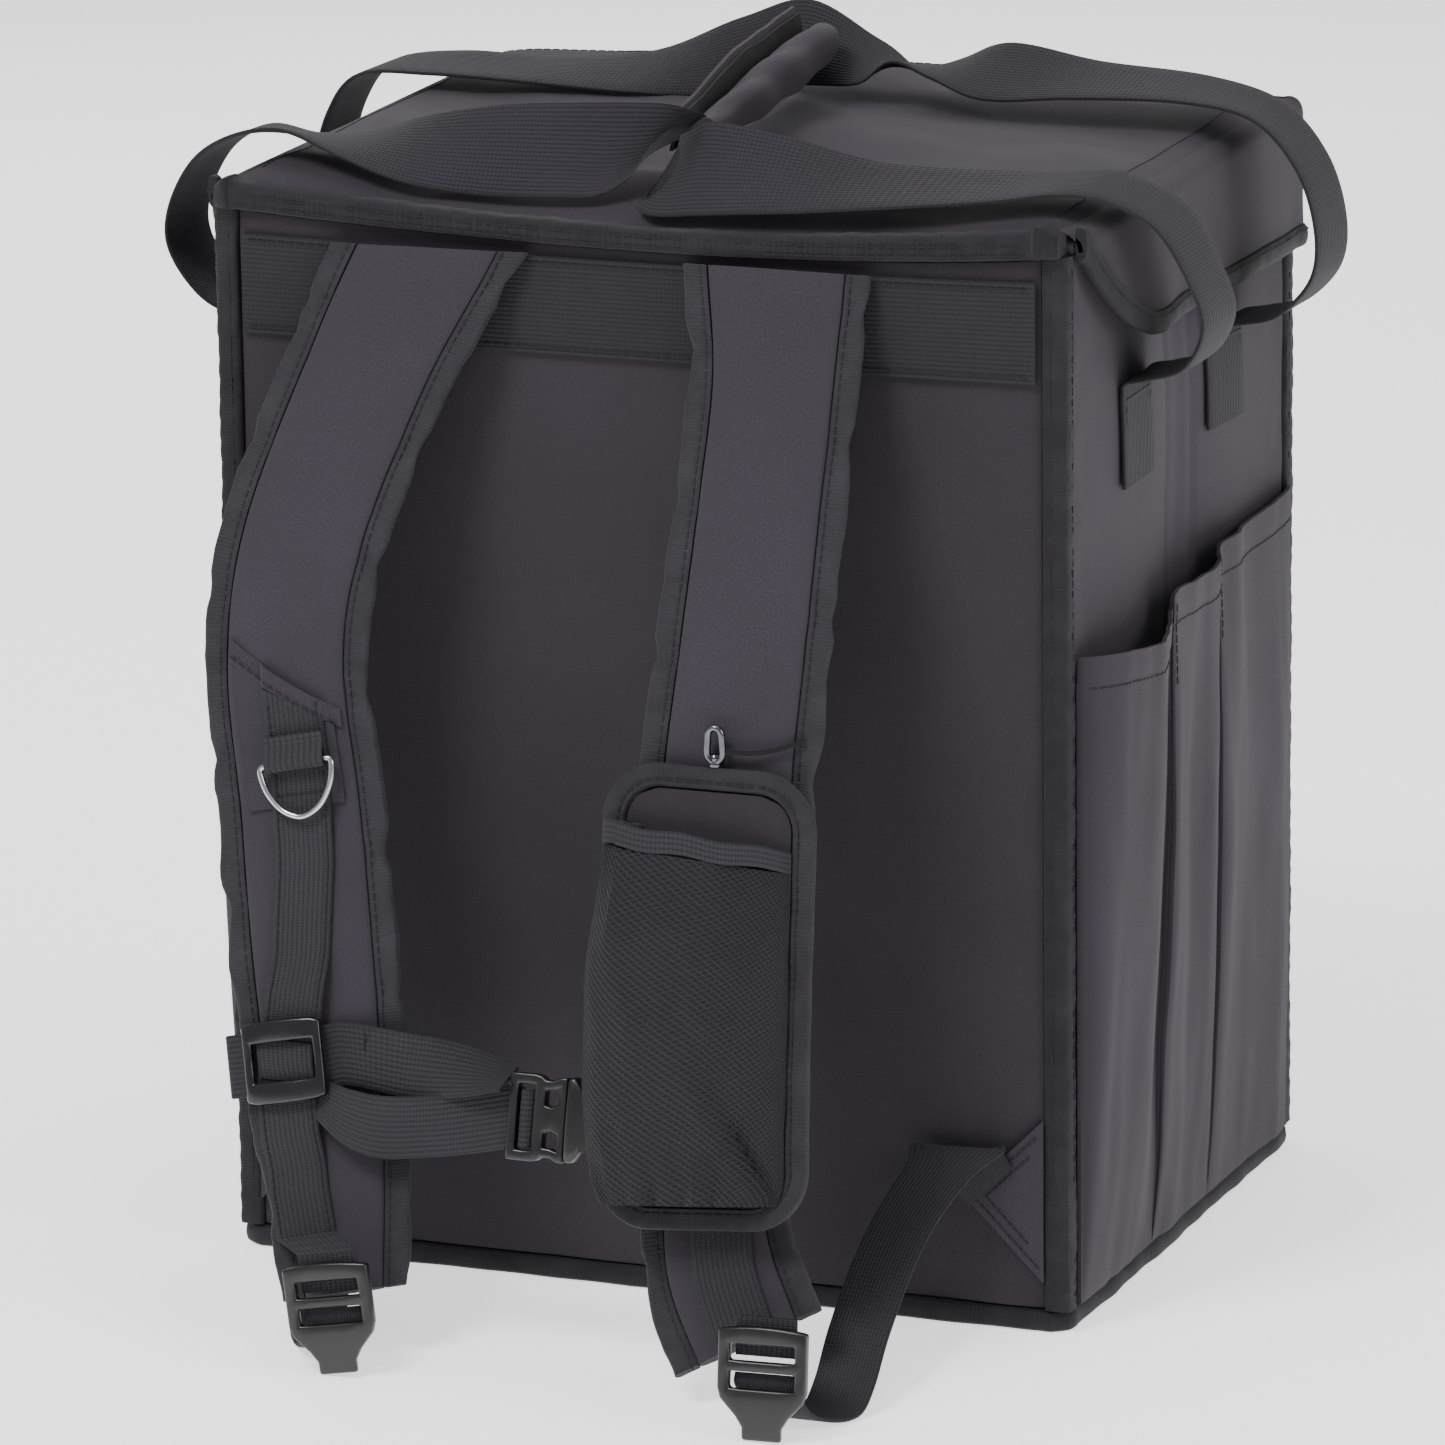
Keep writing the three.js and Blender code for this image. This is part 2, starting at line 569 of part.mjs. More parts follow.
// Sewn webbing down each pad. Columns: share of track length, share of pad width to the right.
const WEB_LINE_LEFT = [
  [0.42, 0.06], [0.5, 0.06], [0.6, 0.02], [0.7, -0.06], [0.8, -0.19], [0.9, -0.2], [1, -0.15],
];
const WEB_LINE_RIGHT = [[0.44, 0.04], [0.6, 0.05], [0.75, 0.06], [0.85, 0.08], [0.93, 0.03], [1, 0]];
function sewnWeb(where, track, line, from, to, lift) {
  const lengths = stations(from, to, 14);
  const rows = (thick) => [
    ...lengths.map((s) => [-0.5, 0.5].map((a) => {
      const u = across(line, s / track.length) * PAD_WIDTH;
      return track.place(s, u + a * WEB, onPad + 0.2 + lift(s) + thick);
    })),
    ...[3, -9].map((up) => [-0.5, 0.5].map((a) => (
      V(a * WEB, up, thick - WEB_THICK - GAP).applyMatrix4(lockFrames[where])))),
  ];
  add("strap_webbing_" + where, slab(rows(WEB_THICK), rows(0)), WEBBING);
}
const sliderU = across(WEB_LINE_LEFT, sliderAt / left.length) * PAD_WIDTH;
const near = (s, at, reach) => THREE.MathUtils.smoothstep(reach - Math.abs(s - at), 0, reach * 0.4);
const sternumRight = right.atHeight(0.235 * BODY_HEIGHT);
const onCover = (s) => (overCover - onPad) * (1 - THREE.MathUtils.smoothstep(s, coverEnd + 4, coverEnd + 22));
sewnWeb("left", left, WEB_LINE_LEFT, left.atHeight(0.566 * BODY_HEIGHT), left.atHeight(0.105 * BODY_HEIGHT),
  (s) => WEB_LIFT * near(s, sliderAt, 44) + onCover(s));
sewnWeb("right", right, WEB_LINE_RIGHT, right.atHeight(0.52 * BODY_HEIGHT), right.length,
  (s) => WEB_LIFT * near(s, sternumRight, 44));

// A closed round wire through points that lie in one plane.
function wire(points, normal, radius, sides, steps) {
  const curve = new THREE.CatmullRomCurve3(points, true, "centripetal");
  const rings = span(steps).slice(0, steps).map((t) => {
    const p = curve.getPointAt(t);
    const out = curve.getTangentAt(t).cross(normal).normalize();
    return span(sides).slice(0, sides).map((k) => {
      const a = k * Math.PI * 2;
      return p.clone().addScaledVector(out, radius * Math.cos(a)).addScaledVector(normal, radius * Math.sin(a));
    });
  });
  return bar(rings, true);
}

// D ring and its tab on the left strap
const ringAt = left.atHeight(0.513 * BODY_HEIGHT);
const ringU = across(WEB_LINE_LEFT, ringAt / left.length) * PAD_WIDTH;
const ringInner = D_RING_WIRE / 2 + GAP;
const ringH = overCover + WEB_THICK + GAP * 1.6 + ringInner + TAB_THICK;
{
  const w = D_RING_WIDTH / 2;
  // Columns: share of half width, share of half width down the strap.
  const outline = [[-0.98, 0.02], [-0.5, 0], [0, 0], [0.5, 0], [0.98, 0.02], [1, 0.36], [0.84, 0.8], [0.5, 1.22],
    [0, 1.42], [-0.5, 1.22], [-0.84, 0.8], [-1, 0.36]];
  const points = outline.map(([u, s]) => left.place(ringAt, ringU + u * w, ringH)
    .add(left.place(ringAt + 4, 0, 0).sub(left.place(ringAt, 0, 0)).normalize().multiplyScalar(s * w)));
  const normal = left.place(ringAt, 0, 1).sub(left.place(ringAt, 0, 0)).normalize();
  add("d_ring_left", wire(points, normal, D_RING_WIRE / 2, 6, 30), METAL);
  // The tab folds round the ring's straight bar. Columns: length, height, in shares of the inner fold radius.
  const fold = [
    [-7, -1], [-2, -1], [0, -1], [0.7, -0.7], [1, 0], [0.7, 0.7], [0, 1], [-2, 0.35], [-4.4, -0.75],
    [-7, -0.75],
  ];
  const turn = [
    [0, -1], [0, -1], [0, -1], [0.7, -0.7], [1, 0], [0.7, 0.7], [0, 1], [-0.2, 1], [-0.2, 1], [0, 1],
  ];
  const rows = (thick) => fold.map(([s, h], i) => [-0.5, 0, 0.5].map((u) => left.place(
    ringAt + s * ringInner + turn[i][0] * thick, ringU + u * WEB, ringH + h * ringInner + turn[i][1] * thick)));
  add("d_ring_tab_left", slab(rows(TAB_THICK), rows(0)), WEBBING);
}

// A flat plate with windows, standing on a track: x across, y up the strap, z out.
function plate(outline, windows, thick, bevel) {
  const round = outline.map(([x, y]) => new THREE.Vector2(x, y));
  if (THREE.ShapeUtils.isClockWise(round)) round.reverse();
  const shape = new THREE.Shape(round);
  for (const [x0, y0, x1, y1] of windows) {
    const ring = [[x0, y0], [x0, y1], [x1, y1], [x1, y0]].map(([x, y]) => new THREE.Vector2(x, y));
    shape.holes.push(new THREE.Path(ring));
  }
  const g = new THREE.ExtrudeGeometry(shape, {
    depth: thick - 2 * bevel, bevelEnabled: bevel > 0, bevelSegments: 1, bevelThickness: bevel, bevelSize: bevel,
    bevelOffset: -bevel,
  });
  g.translate(0, 0, bevel);
  return g;
}
function stand(origin, acrossDir, upDir) {
  const x = acrossDir.clone().normalize();
  const z = x.clone().cross(upDir).normalize();
  const y = z.clone().cross(x);
  return new THREE.Matrix4().makeBasis(x, y, z).setPosition(origin);
}
function standOn(track, s, u, h) {
  const p = track.place(s, u, h);
  return stand(p, track.place(s, u + 1, h).sub(p), track.place(s - 4, u, h).sub(p));
}

// Chest strap slider on the left strap
const sliderH = onPad + WEB_LIFT + WEB_THICK + GAP * 2.8;
{
  const a = SLIDER_SIZE / 2;
  const b = a * 0.92;
  const outline = [[-a * 0.8, -b], [a * 0.8, -b], [a, -b * 0.85], [a, b * 0.85], [a * 0.8, b], [-a * 0.8, b],
    [-a, b * 0.85], [-a, -b * 0.85]];
  const g = plate(outline, [[-a * 0.78, -b * 0.5, a * 0.78, b * 0.5]], SLIDER_THICK, 0.7);
  g.applyMatrix4(standOn(left, sliderAt, sliderU, sliderH));
  add("sternum_slider_left", g, PLASTIC);
}
// Chest webbing, back layer: columns x, y, z, side x, side y, side z, width.
const BUCKLE_MID = V(-0.082 * halfWidth, -halfDepth - 0.923 * STRAP_FLARE, 0.229 * BODY_HEIGHT);
const BUCKLE_UP = V(0, 0.25, 1);
const upOf = (track, s) => track.place(s - 4, 0, 0).sub(track.place(s, 0, 0)).normalize().toArray();
const onWeb = overCover + WEB_THICK / 2;
const underSlider = sliderH - GAP - WEB_THICK / 2;
const rowAt = (p, side, w) => [p.x, p.y, p.z, side[0], side[1], side[2], w];
{
  // Round the slider's left bar and over the pad. Columns: share of slider size across, height.
  const loop = [
    [-0.5, underSlider], [-0.72, underSlider - 0.6], [-0.7, onWeb + 0.5], [-0.46, onWeb], [0, onWeb],
    [0.46, onWeb], [0.75, onWeb + 0.6],
  ];
  const up = upOf(left, sliderAt);
  const rows = [
    ...loop.map(([u, h]) => rowAt(left.place(sliderAt, sliderU + SLIDER_SIZE * u, h), up, WEB)),
    rowAt(out(-0.335, 0.85, 0.258), [0, 0.2, 1], WEB),
    rowAt(out(-0.2, 0.83, 0.275), [0, 0.5, 0.8], WEB),
    rowAt(out(-0.06, 0.79, 0.29), [0, 0.85, 0.5], WEB),
  ];
  add("sternum_webbing_left_back", ribbon(rows, 2, WEB_THICK), WEBBING);
  const front = [
    rowAt(out(-0.497, 0.955, 0.212), [0, 0.35, 0.9], WEB * 0.8),
    rowAt(out(-0.4, 0.955, 0.211), [0, 0.1, 1], WEB),
    rowAt(out(-0.28, 0.945, 0.214), [0, 0, 1], WEB),
    rowAt(out(-0.17, 0.93, 0.221), [0, 0.2, 1], WEB),
    rowAt(BUCKLE_MID.clone().add(V(-GAP, 0, 0)), BUCKLE_UP.toArray(), WEB),
  ];
  add("sternum_webbing_left_front", ribbon(front, 3, WEB_THICK), WEBBING);
}
// Side-release buckle: the bar half on the left, the shell half on the right.
{
  const w = BUCKLE_WIDTH / 2;
  const male = plate(
    [[0, -w * 0.9], [2, -w], [MALE_LENGTH - 8, -w], [MALE_LENGTH - 6, -w * 0.8], [MALE_LENGTH, -w * 0.8],
      [MALE_LENGTH, w * 0.8], [MALE_LENGTH - 6, w * 0.8], [MALE_LENGTH - 8, w], [2, w], [0, w * 0.9]],
    [[4.5, -WEB / 2 - 0.5, 8.5, WEB / 2 + 0.5], [11.5, -WEB / 2, 14.5, WEB / 2]], BUCKLE_THICK * 0.62, 0.8);
  male.applyMatrix4(stand(BUCKLE_MID.clone().add(V(0, BUCKLE_THICK * 0.31, 0)), V(1, 0, 0), BUCKLE_UP));
  add("buckle_male", male, PLASTIC);
  const f = FEMALE_LENGTH;
  const female = plate(
    [[0, -w * 0.95], [4, -w], [7, -w * 0.62], [13, -w * 0.55], [17, -w * 0.95], [f - 2, -w * 0.86], [f, -w * 0.8],
      [f, w * 0.8], [f - 2, w * 0.86], [17, w * 0.95], [13, w * 0.55], [7, w * 0.62], [4, w], [0, w * 0.95]],
    [[f - 8, -WEB * 0.47, f - 4, WEB * 0.47]], BUCKLE_THICK, 0.8);
  const socket = BUCKLE_MID.clone().add(V(MALE_LENGTH + GAP, BUCKLE_THICK / 2, 0));
  female.applyMatrix4(stand(socket, V(1, 0, 0), BUCKLE_UP));
  add("buckle_female", female, PLASTIC);
  const start = BUCKLE_MID.clone().add(V(MALE_LENGTH + f + GAP + 0.65, 0, 0));
  const u0 = (start.x - right.place(sternumRight, 0, 0).x) + 16;
  const over = upOf(right, sternumRight);
  const rows = [
    rowAt(start, BUCKLE_UP.toArray(), WEB),
    ...[0, 0.6, 1].map((k) => rowAt(right.place(sternumRight, u0 + WEB * k, onWeb), over, WEB)),
  ];
  add("sternum_webbing_right", ribbon(rows, 2, WEB_THICK), WEBBING);
}

// Webbing from each corner patch up, over a fold, down to the floor and into the lock.
// Columns: share of half width, share of flare, share of height, side x, side y, side z, width share.
const LOWER_WEB = [
  [0.83, 0.034, 0.135, 0.71, 0, 0.71, 1], [0.79, 0.04, 0.156, 0.8, 0, 0.55, 1.15],
  [0.765, 0.055, 0.17, 1, 0, 0.08, 1.5], [0.757, 0.088, 0.1695, 1, 0, 0, 1.5],
  [0.735, 0.13, 0.156, 1, 0, -0.06, 1.15], [0.708, 0.22, 0.136, 1, 0, -0.1, 1.04],
  [0.69, 0.37, 0.112, 1, 0, -0.1, 1], [0.692, 0.58, 0.086, 1, 0, -0.1, 1],
  [0.71, 0.86, 0.055, 1, 0, -0.05, 1], [0.72, 1.04, 0.024, 1, 0, 0, 1], [0.71, 1.13, 0.0055, 1, 0, 0, 1],
  [0.68, 1.23, 0.0055, 1, 0, 0, 1], [0.645, 1.33, 0.018, 1, 0, 0, 1],
];
for (const [where, s] of [["left", -1], ["right", 1]]) {
  const lock = LOCK_SPOTS[where][0];
  const shift = lock.x - s * LOCK_SPOTS.right[0].x;
  const forward = lock.y - LOCK_SPOTS.right[0].y;
  const rows = LOWER_WEB.map(([x, flare, z, sx, sy, sz, w]) => {
    const part = THREE.MathUtils.smoothstep(flare, 0.2, 1.3);
    const p = out(s * x, flare, z).add(V(shift * part, forward * part, 0));
    return [p.x, p.y, p.z, sx, sy, s * sz, w * WEB];
  });
  for (const down of [0.5, 0.38]) {
    const p = V(0, -LOCK_LENGTH * down, -GAP - WEB_THICK / 2).applyMatrix4(lockFrames[where]);
    rows.push(rowAt(p, V(1, 0, 0).transformDirection(lockFrames[where]).toArray(), WEB));
  }
  add("lower_webbing_" + where, ribbon(rows, 2, WEB_THICK), WEBBING);
}

// Pouch on the right strap
const pouchTrack = new Track([
  [0.33 * halfWidth, -halfDepth - 0.642 * STRAP_FLARE, 0.551 * BODY_HEIGHT, POUCH_WIDTH],
  [0.353 * halfWidth, -halfDepth - 0.793 * STRAP_FLARE, 0.417 * BODY_HEIGHT, POUCH_WIDTH],
  [0.376 * halfWidth, -halfDepth - 0.95 * STRAP_FLARE, 0.287 * BODY_HEIGHT, POUCH_WIDTH],
  [0.402 * halfWidth, -halfDepth - 1.082 * STRAP_FLARE, 0.153 * BODY_HEIGHT, POUCH_WIDTH],
], V(1, 0, -0.03));
const pouchHalf = POUCH_WIDTH / 2;
const roundedHalf = (s, inset) => {
  const r = POUCH_CORNER - inset;
  const d = Math.min(s, pouchTrack.length - s) - inset;
  const cut = d >= r ? 0 : r - Math.sqrt(Math.max(0, r * r - (r - d) * (r - d)));
  return pouchHalf - inset - cut;
};
{
  const inset = POUCH_TAPE + GAP * 2;
  const long = pouchTrack.length;
  const lengths = [0.01, 0.16, 0.5, 1].map((t) => inset + t * (POUCH_CORNER - inset))
    .concat(stations(POUCH_CORNER + 14, long - POUCH_CORNER - 14, 18))
    .concat([1, 0.5, 0.16, 0.01].map((t) => long - inset - t * (POUCH_CORNER - inset)));
  add("pouch_back", layer(pouchTrack, lengths, (s) => {
    const w = roundedHalf(s, inset);
    return [-1, 0, 1].map((a) => [a * w, 1, -1.4]);
  }), PANEL);
  // Tape frame: a closed loop of rings round the rounded outline.
  const outline = [];
  const c = POUCH_CORNER;
  const spots = [
    [pouchHalf - c, c, -90], [pouchHalf - c, long - c, 0], [-pouchHalf + c, long - c, 90], [-pouchHalf + c, c, 180],
  ];
  spots.forEach(([u, s, turn], k) => {
    for (const t of [0, 22.5, 45, 67.5, 90]) {
      outline.push([u, s, (turn + t) * Math.PI / 180]);
    }
    const [nu, ns] = spots[(k + 1) % 4];
    const n = Math.abs(ns - s) > 1 ? 6 : 2;
    for (let i = 1; i <= n; i++) {
      outline.push([lerp(u, nu, i / (n + 1)), lerp(s, ns, i / (n + 1)), (turn + 90) * Math.PI / 180]);
    }
  });
  const halfTape = POUCH_TAPE_THICK / 2;
  const section = [[1, -0.5], [0.9, -1], [0.06, -0.8], [0, 0], [0.06, 0.8], [0.9, 1], [1, 0.5]];
  const rings = outline.map(([u, s, a], i) => section.map(([into, h]) => {
    const r = c - (1 - into) * POUCH_TAPE - (into > 0.5 ? 0.5 + 0.5 * Math.sin(i * 2.1) : 0);
    return pouchTrack.place(s + Math.sin(a) * r, u + Math.cos(a) * r, h * halfTape);
  }));
  add("pouch_binding", bar(rings, true), TAPE);
  // Mesh pocket: columns run across the bulge, shares of half width and of the bulge.
  const arc = [
    [-0.8, 0], [-1, 0.22], [-1.02, 0.5], [-0.8, 0.86], [-0.35, 1], [0.15, 0.95], [0.5, 0.68],
    [0.73, 0.3], [0.81, 0],
  ];
  const floor = halfTape - 0.1;
  const foot = long - POUCH_TAPE - 5;
  const swell = (s) => 0.4 + 0.6 * THREE.MathUtils.smoothstep(s, NET_MOUTH - 6, NET_MOUTH + 62)
    * (1 - 0.62 * THREE.MathUtils.smoothstep(s, foot - 46, foot));
  const net = stations(NET_MOUTH + 7, foot, 14);
  const atRim = (j) => j === 0 || j === arc.length - 1;
  const meshRows = (thick) => net.map((s) => arc.map(([a, h], j) => {
    const shrink = roundedHalf(Math.min(s, foot), 0) / pouchHalf;
    const k = swell(s);
    const w = a * pouchHalf * shrink * (Math.abs(a) > 0.8 ? lerp(0.84, 1, k) : 1);
    const lift = Math.max(h, 0) * POUCH_BULGE * k;
    const deep = atRim(j) ? 0 : thick;
    const u = w - Math.sign(a) * (h < 0.9 ? deep * 0.7 : 0);
    return pouchTrack.place(s, u, floor + lift - deep * (h > 0.4 ? 1 : 0.5));
  }));
  const inward = (p, s) => pouchTrack.place(s, 0, 0).sub(p).setLength(NET_THICK).add(p);
  const inner = meshRows(NET_THICK).map((row, i) => row.map((p, j) => (atRim(j) ? inward(p, net[i]) : p)));
  add("pouch_mesh", slab(meshRows(0), inner), MESH);
  const bandStops = [NET_MOUTH - 2, NET_MOUTH + 2.5, NET_MOUTH + 6.6];
  const bandRows = (thick) => bandStops.map((s) => arc.map(([a, h], j) => {
    const k = swell(NET_MOUTH + 7);
    const w = a * pouchHalf * (Math.abs(a) > 0.8 ? lerp(0.84, 1, k) : 1);
    const edge = atRim(j) ? thick * 0.6 : 0;
    const u = w - Math.sign(a) * (edge + (h < 0.9 ? thick * 0.5 : 0));
    return pouchTrack.place(s, u, floor + h * POUCH_BULGE * k - (h > 0 ? thick : 0));
  }));
  add("pouch_elastic", slab(bandRows(0), bandRows(ELASTIC_THICK)), WEBBING);
}

// Small snap hook at the pouch's top, and the tether cord.
const hookSpot = pouchTrack.place(1, 0.02 * POUCH_WIDTH, 0.2).add(V(0, 0, HOOK_LENGTH * 0.5 + 0.95));
{
  const outline = [
    [0, 0.5], [0.16, 0.4], [0.2, 0.1], [0.2, -0.25], [0, -0.42], [-0.2, -0.25], [-0.2, 0.1], [-0.16, 0.4],
  ];
  const points = outline.map(([x, z]) => hookSpot.clone().add(V(x * HOOK_LENGTH, 0, z * HOOK_LENGTH)));
  add("pouch_hook", wire(points, V(0, 1, 0), HOOK_WIRE / 2, 6, 16), METAL);
}
const cordStart = hookSpot.clone().add(V(HOOK_LENGTH * 0.31, 0, -HOOK_LENGTH * 0.1));
const tieAt = right.atHeight(0.581 * BODY_HEIGHT);
const cordLift = PAD_TAPE_THICK / 2 + CORD_DIAMETER / 2 - 0.1;
const cordEnd = right.place(tieAt, right.width(tieAt) / 2 - PAD_TAPE * 0.6, cordLift);
{
  const sag = (t) => V(0, -hump(t) * 1.5, -hump(t) * 2);
  const route = [0, 0.33, 0.66, 1].map((t) => cordStart.clone().lerp(cordEnd, t).add(sag(t)));
  const circle = new THREE.Shape().absarc(0, 0, CORD_DIAMETER / 2, 0, Math.PI * 2);
  add("tether_cord", new THREE.ExtrudeGeometry(circle, {
    steps: 12, curveSegments: 4, extrudePath: new THREE.CatmullRomCurve3(route, false, "centripetal"),
  }), CORD);
}

// Carrying handles. Columns: share of half width, outward swing share, share of half depth,
// lift share over the body's top, side x, side y, side z.
const NEAR_RIGHT = [
  [1, 0.27, -0.43, -2.5, 0, 1, 0], [1, 0.6, -0.43, -2.27, 0, 1, 0], [1, 0.8, -0.46, -1.55, 0, 1, 0],
  [1, 0.74, -0.54, -0.68, 0, 1, 0], [1, 0.52, -0.61, 0.25, 0, 1, 0.05],
  [1, 0.18, -0.69, 0.9, -0.1, 1, 0.15], [0.95, 0, -0.76, 1.05, 0, 0.95, 0.3],
  [0.79, 0, -0.81, 1.05, 0, 0.86, 0.5], [0.5, 0, -0.84, 1.05, 0, 0.84, 0.54],
  [0.26, 0, -0.84, 1.1, 0, 0.8, 0.6],
];
const NEAR_LEFT = [
  [-0.02, 0, -0.81, 1.16, 0, 0.62, 0.78], [-0.3, 0, -0.86, 1.2, 0, 0.5, 0.87],
  [-0.56, 0, -0.82, 1.16, 0, 0.62, 0.78], [-0.76, 0, -0.75, 1.05, 0, 0.82, 0.55],
  [-0.92, 0, -0.68, 1, 0, 0.97, 0.2], [-1, -0.24, -0.59, 0.84, 0, 1, 0.05],
  [-1, -0.66, -0.55, 0.3, 0, 1, 0], [-1, -0.95, -0.52, -0.58, 0, 1, 0],
  [-1, -0.99, -0.49, -1.35, 0, 1, 0], [-1, -0.72, -0.46, -2.15, 0, 1, 0],
  [-1, -0.3, -0.44, -2.5, 0, 1, 0],
];
const FAR_RIGHT = [
  [1, 0.27, 0.4, -2.5, 0, 1, 0], [1, 0.62, 0.39, -2.3, 0, 1, 0], [1, 0.93, 0.38, -1.65, 0, 1, 0],
  [1, 0.97, 0.375, -0.8, 0, 1, 0], [1, 0.8, 0.37, 0.2, 0, 1, 0], [1, 0.4, 0.37, 1, 0, 1, 0.02],
  [0.93, 0, 0.37, 1.3, 0, 0.99, 0.1], [0.67, 0, 0.37, 1.36, 0, 0.97, 0.22],
  [0.4, 0, 0.38, 1.42, 0, 0.93, 0.36], [0.2, 0, 0.44, 1.45, 0, 0.7, 0.7],
];
const FAR_LEFT = [
  [-0.06, 0, 0.5, 1.68, 0, 0.6, 0.8], [-0.24, 0, 0.46, 1.58, 0, 0.6, 0.8],
  [-0.45, 0, 0.41, 1.34, 0, 0.85, 0.5], [-0.7, 0, 0.41, 1.22, 0, 0.92, 0.38],
  [-0.92, 0, 0.42, 1.12, 0, 0.98, 0.18], [-1, -0.4, 0.43, 0.9, 0, 1, 0],
  [-1, -0.72, 0.43, 0.15, 0, 1, 0], [-1, -0.84, 0.42, -0.9, 0, 1, 0], [-1, -0.74, 0.41, -1.9, 0, 1, 0],
  [-1, -0.3, 0.4, -2.5, 0, 1, 0],
];
function patchRows(sign, share) {
  const y = share * halfDepth;
  const top = BODY_HEIGHT - HANDLE_LIFT * 2.6;
  return [0, 0.12, 0.55, 1].map((t) => {
    const z = top - PATCH_TALL * t;
    const [a, b] = [sideFace(y - WIDE_WEB / 2, z), sideFace(y + WIDE_WEB / 2, z)];
    const bulge = (k) => sideFace(y + (k - 0.5) * WIDE_WEB, z) - lerp(a, b, k);
    const over = Math.max(...span(4).map(bulge));
    const lift = t === 0 ? 1.6 : 0;
    const x = halfWidth + (a + b) / 2 + over + WEB_THICK / 2 + GAP * 2 + lift;
    return [sign * x, y, z, sign * (b - a) / WIDE_WEB, 1, 0, WIDE_WEB];
  });
}
function handle(name, rightRows, leftRows) {
  const free = [...rightRows, ...leftRows].map(([x, swing, y, lift, sx, sy, sz]) => [
    x * halfWidth + swing * HANDLE_SWING, y * halfDepth, BODY_HEIGHT + lift * HANDLE_LIFT, sx, sy, sz, WIDE_WEB,
  ]);
  const rightPatch = patchRows(1, rightRows[0][2]).reverse();
  const leftPatch = patchRows(-1, leftRows[leftRows.length - 1][2]);
  const rows = [...rightPatch, ...free, ...leftPatch];
  add(name, ribbon(rows, 2, WEB_THICK), WEBBING);
}
handle("handle_near", NEAR_RIGHT, NEAR_LEFT);
handle("handle_far", FAR_RIGHT, FAR_LEFT);

// Handle wrap: an open folded sleeve. Columns: sideways and upward shares of the wrap's height.
const WRAP_NEAR = [
  [-0.36, 0.6], [-0.24, 0.3], [-0.05, 0.04], [0.18, 0], [0.4, 0.12], [0.5, 0.32], [0.4, 0.5],
];
const WRAP_FAR = [
  [-0.36, 1.02], [-0.26, 0.6], [-0.1, 0.14], [0.16, 0], [0.4, 0.14], [0.47, 0.45], [0.28, 0.72],
];
{
  const a = V(0.017 * halfWidth, -0.716 * halfDepth, BODY_HEIGHT + 1.1 * HANDLE_LIFT);
  const b = V(0.034 * halfWidth, 0.436 * halfDepth, BODY_HEIGHT + 1.36 * HANDLE_LIFT);
  const rows = (thick) => span(6).map((t) => {
    const section = WRAP_NEAR.map(([x, z], j) => [lerp(x, WRAP_FAR[j][0], t), lerp(z, WRAP_FAR[j][1], t)]);
    return section.map(([x, z], j) => {
      const p = section[Math.max(0, j - 1)];
      const q = section[Math.min(section.length - 1, j + 1)];
      const dir = new THREE.Vector2(q[0] - p[0], q[1] - p[1]).normalize();
      const step = V(x * WRAP_HEIGHT - dir.y * thick, 0, z * WRAP_HEIGHT + dir.x * thick);
      return a.clone().lerp(b, t).add(step);
    });
  });
  add("handle_wrap", slab(rows(WRAP_THICK), rows(0)), CLOTH);
}

// Side pockets. Columns: share of half depth, outward share of the bulge at the mouth, mouth height share.
const POCKET_LINE = [
  [-1, 0.03, 0.985], [-0.96, 0.5, 0.985], [-0.82, 0.98, 0.98], [-0.6, 0.95, 0.97], [-0.36, 0.66, 0.985],
  [-0.325, 0.62, 1.01], [-0.1, 0.52, 1.005], [0.1, 0.46, 1], [0.19, 0.42, 1.005], [0.225, 0.3, 1.025],
  [0.5, 0.22, 1.025], [0.8, 0.16, 1.03], [0.96, 0.1, 1.035], [1, 0.03, 1.035],
];
const POCKET_FOLD = [0, 0.5, 0.1, 0.35, -0.3, 0.55, 0.2, 0.5, 0.05, 0.6, 0.25, 0.45, 0.3, 0];
for (const [where, s] of [["left", -1], ["right", 1]]) {
  const rows = (deep) => span(7).map((t) => POCKET_LINE.map(([share, swell, tall], j) => {
    const y = share * innerY;
    const z = lerp(wallFoot + 0.6, POCKET_MOUTH * tall, t);
    const belly = swell * Math.pow(t, 0.7) + POCKET_FOLD[j] * hump(t * 0.9 + 0.05) * 0.5;
    const free = Math.abs(share) === 1 ? 0.03 : Math.max(belly, 0.03);
    const base = Math.max(0, ...[-1, 0, 1].map((k) => sideFace(y + k * 6, z)));
    return V(s * (halfWidth + base + GAP + 0.2 + free * POCKET_BULGE + deep), y, z);
  }));
  add("side_pocket_" + where, slab(rows(POCKET_THICK), rows(0)), CLOTH);
}

export default group;
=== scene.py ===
from math import cos, floor, hypot, pi, radians, sin, sqrt

import bmesh
import bpy
from mathutils import Matrix, Vector, noise


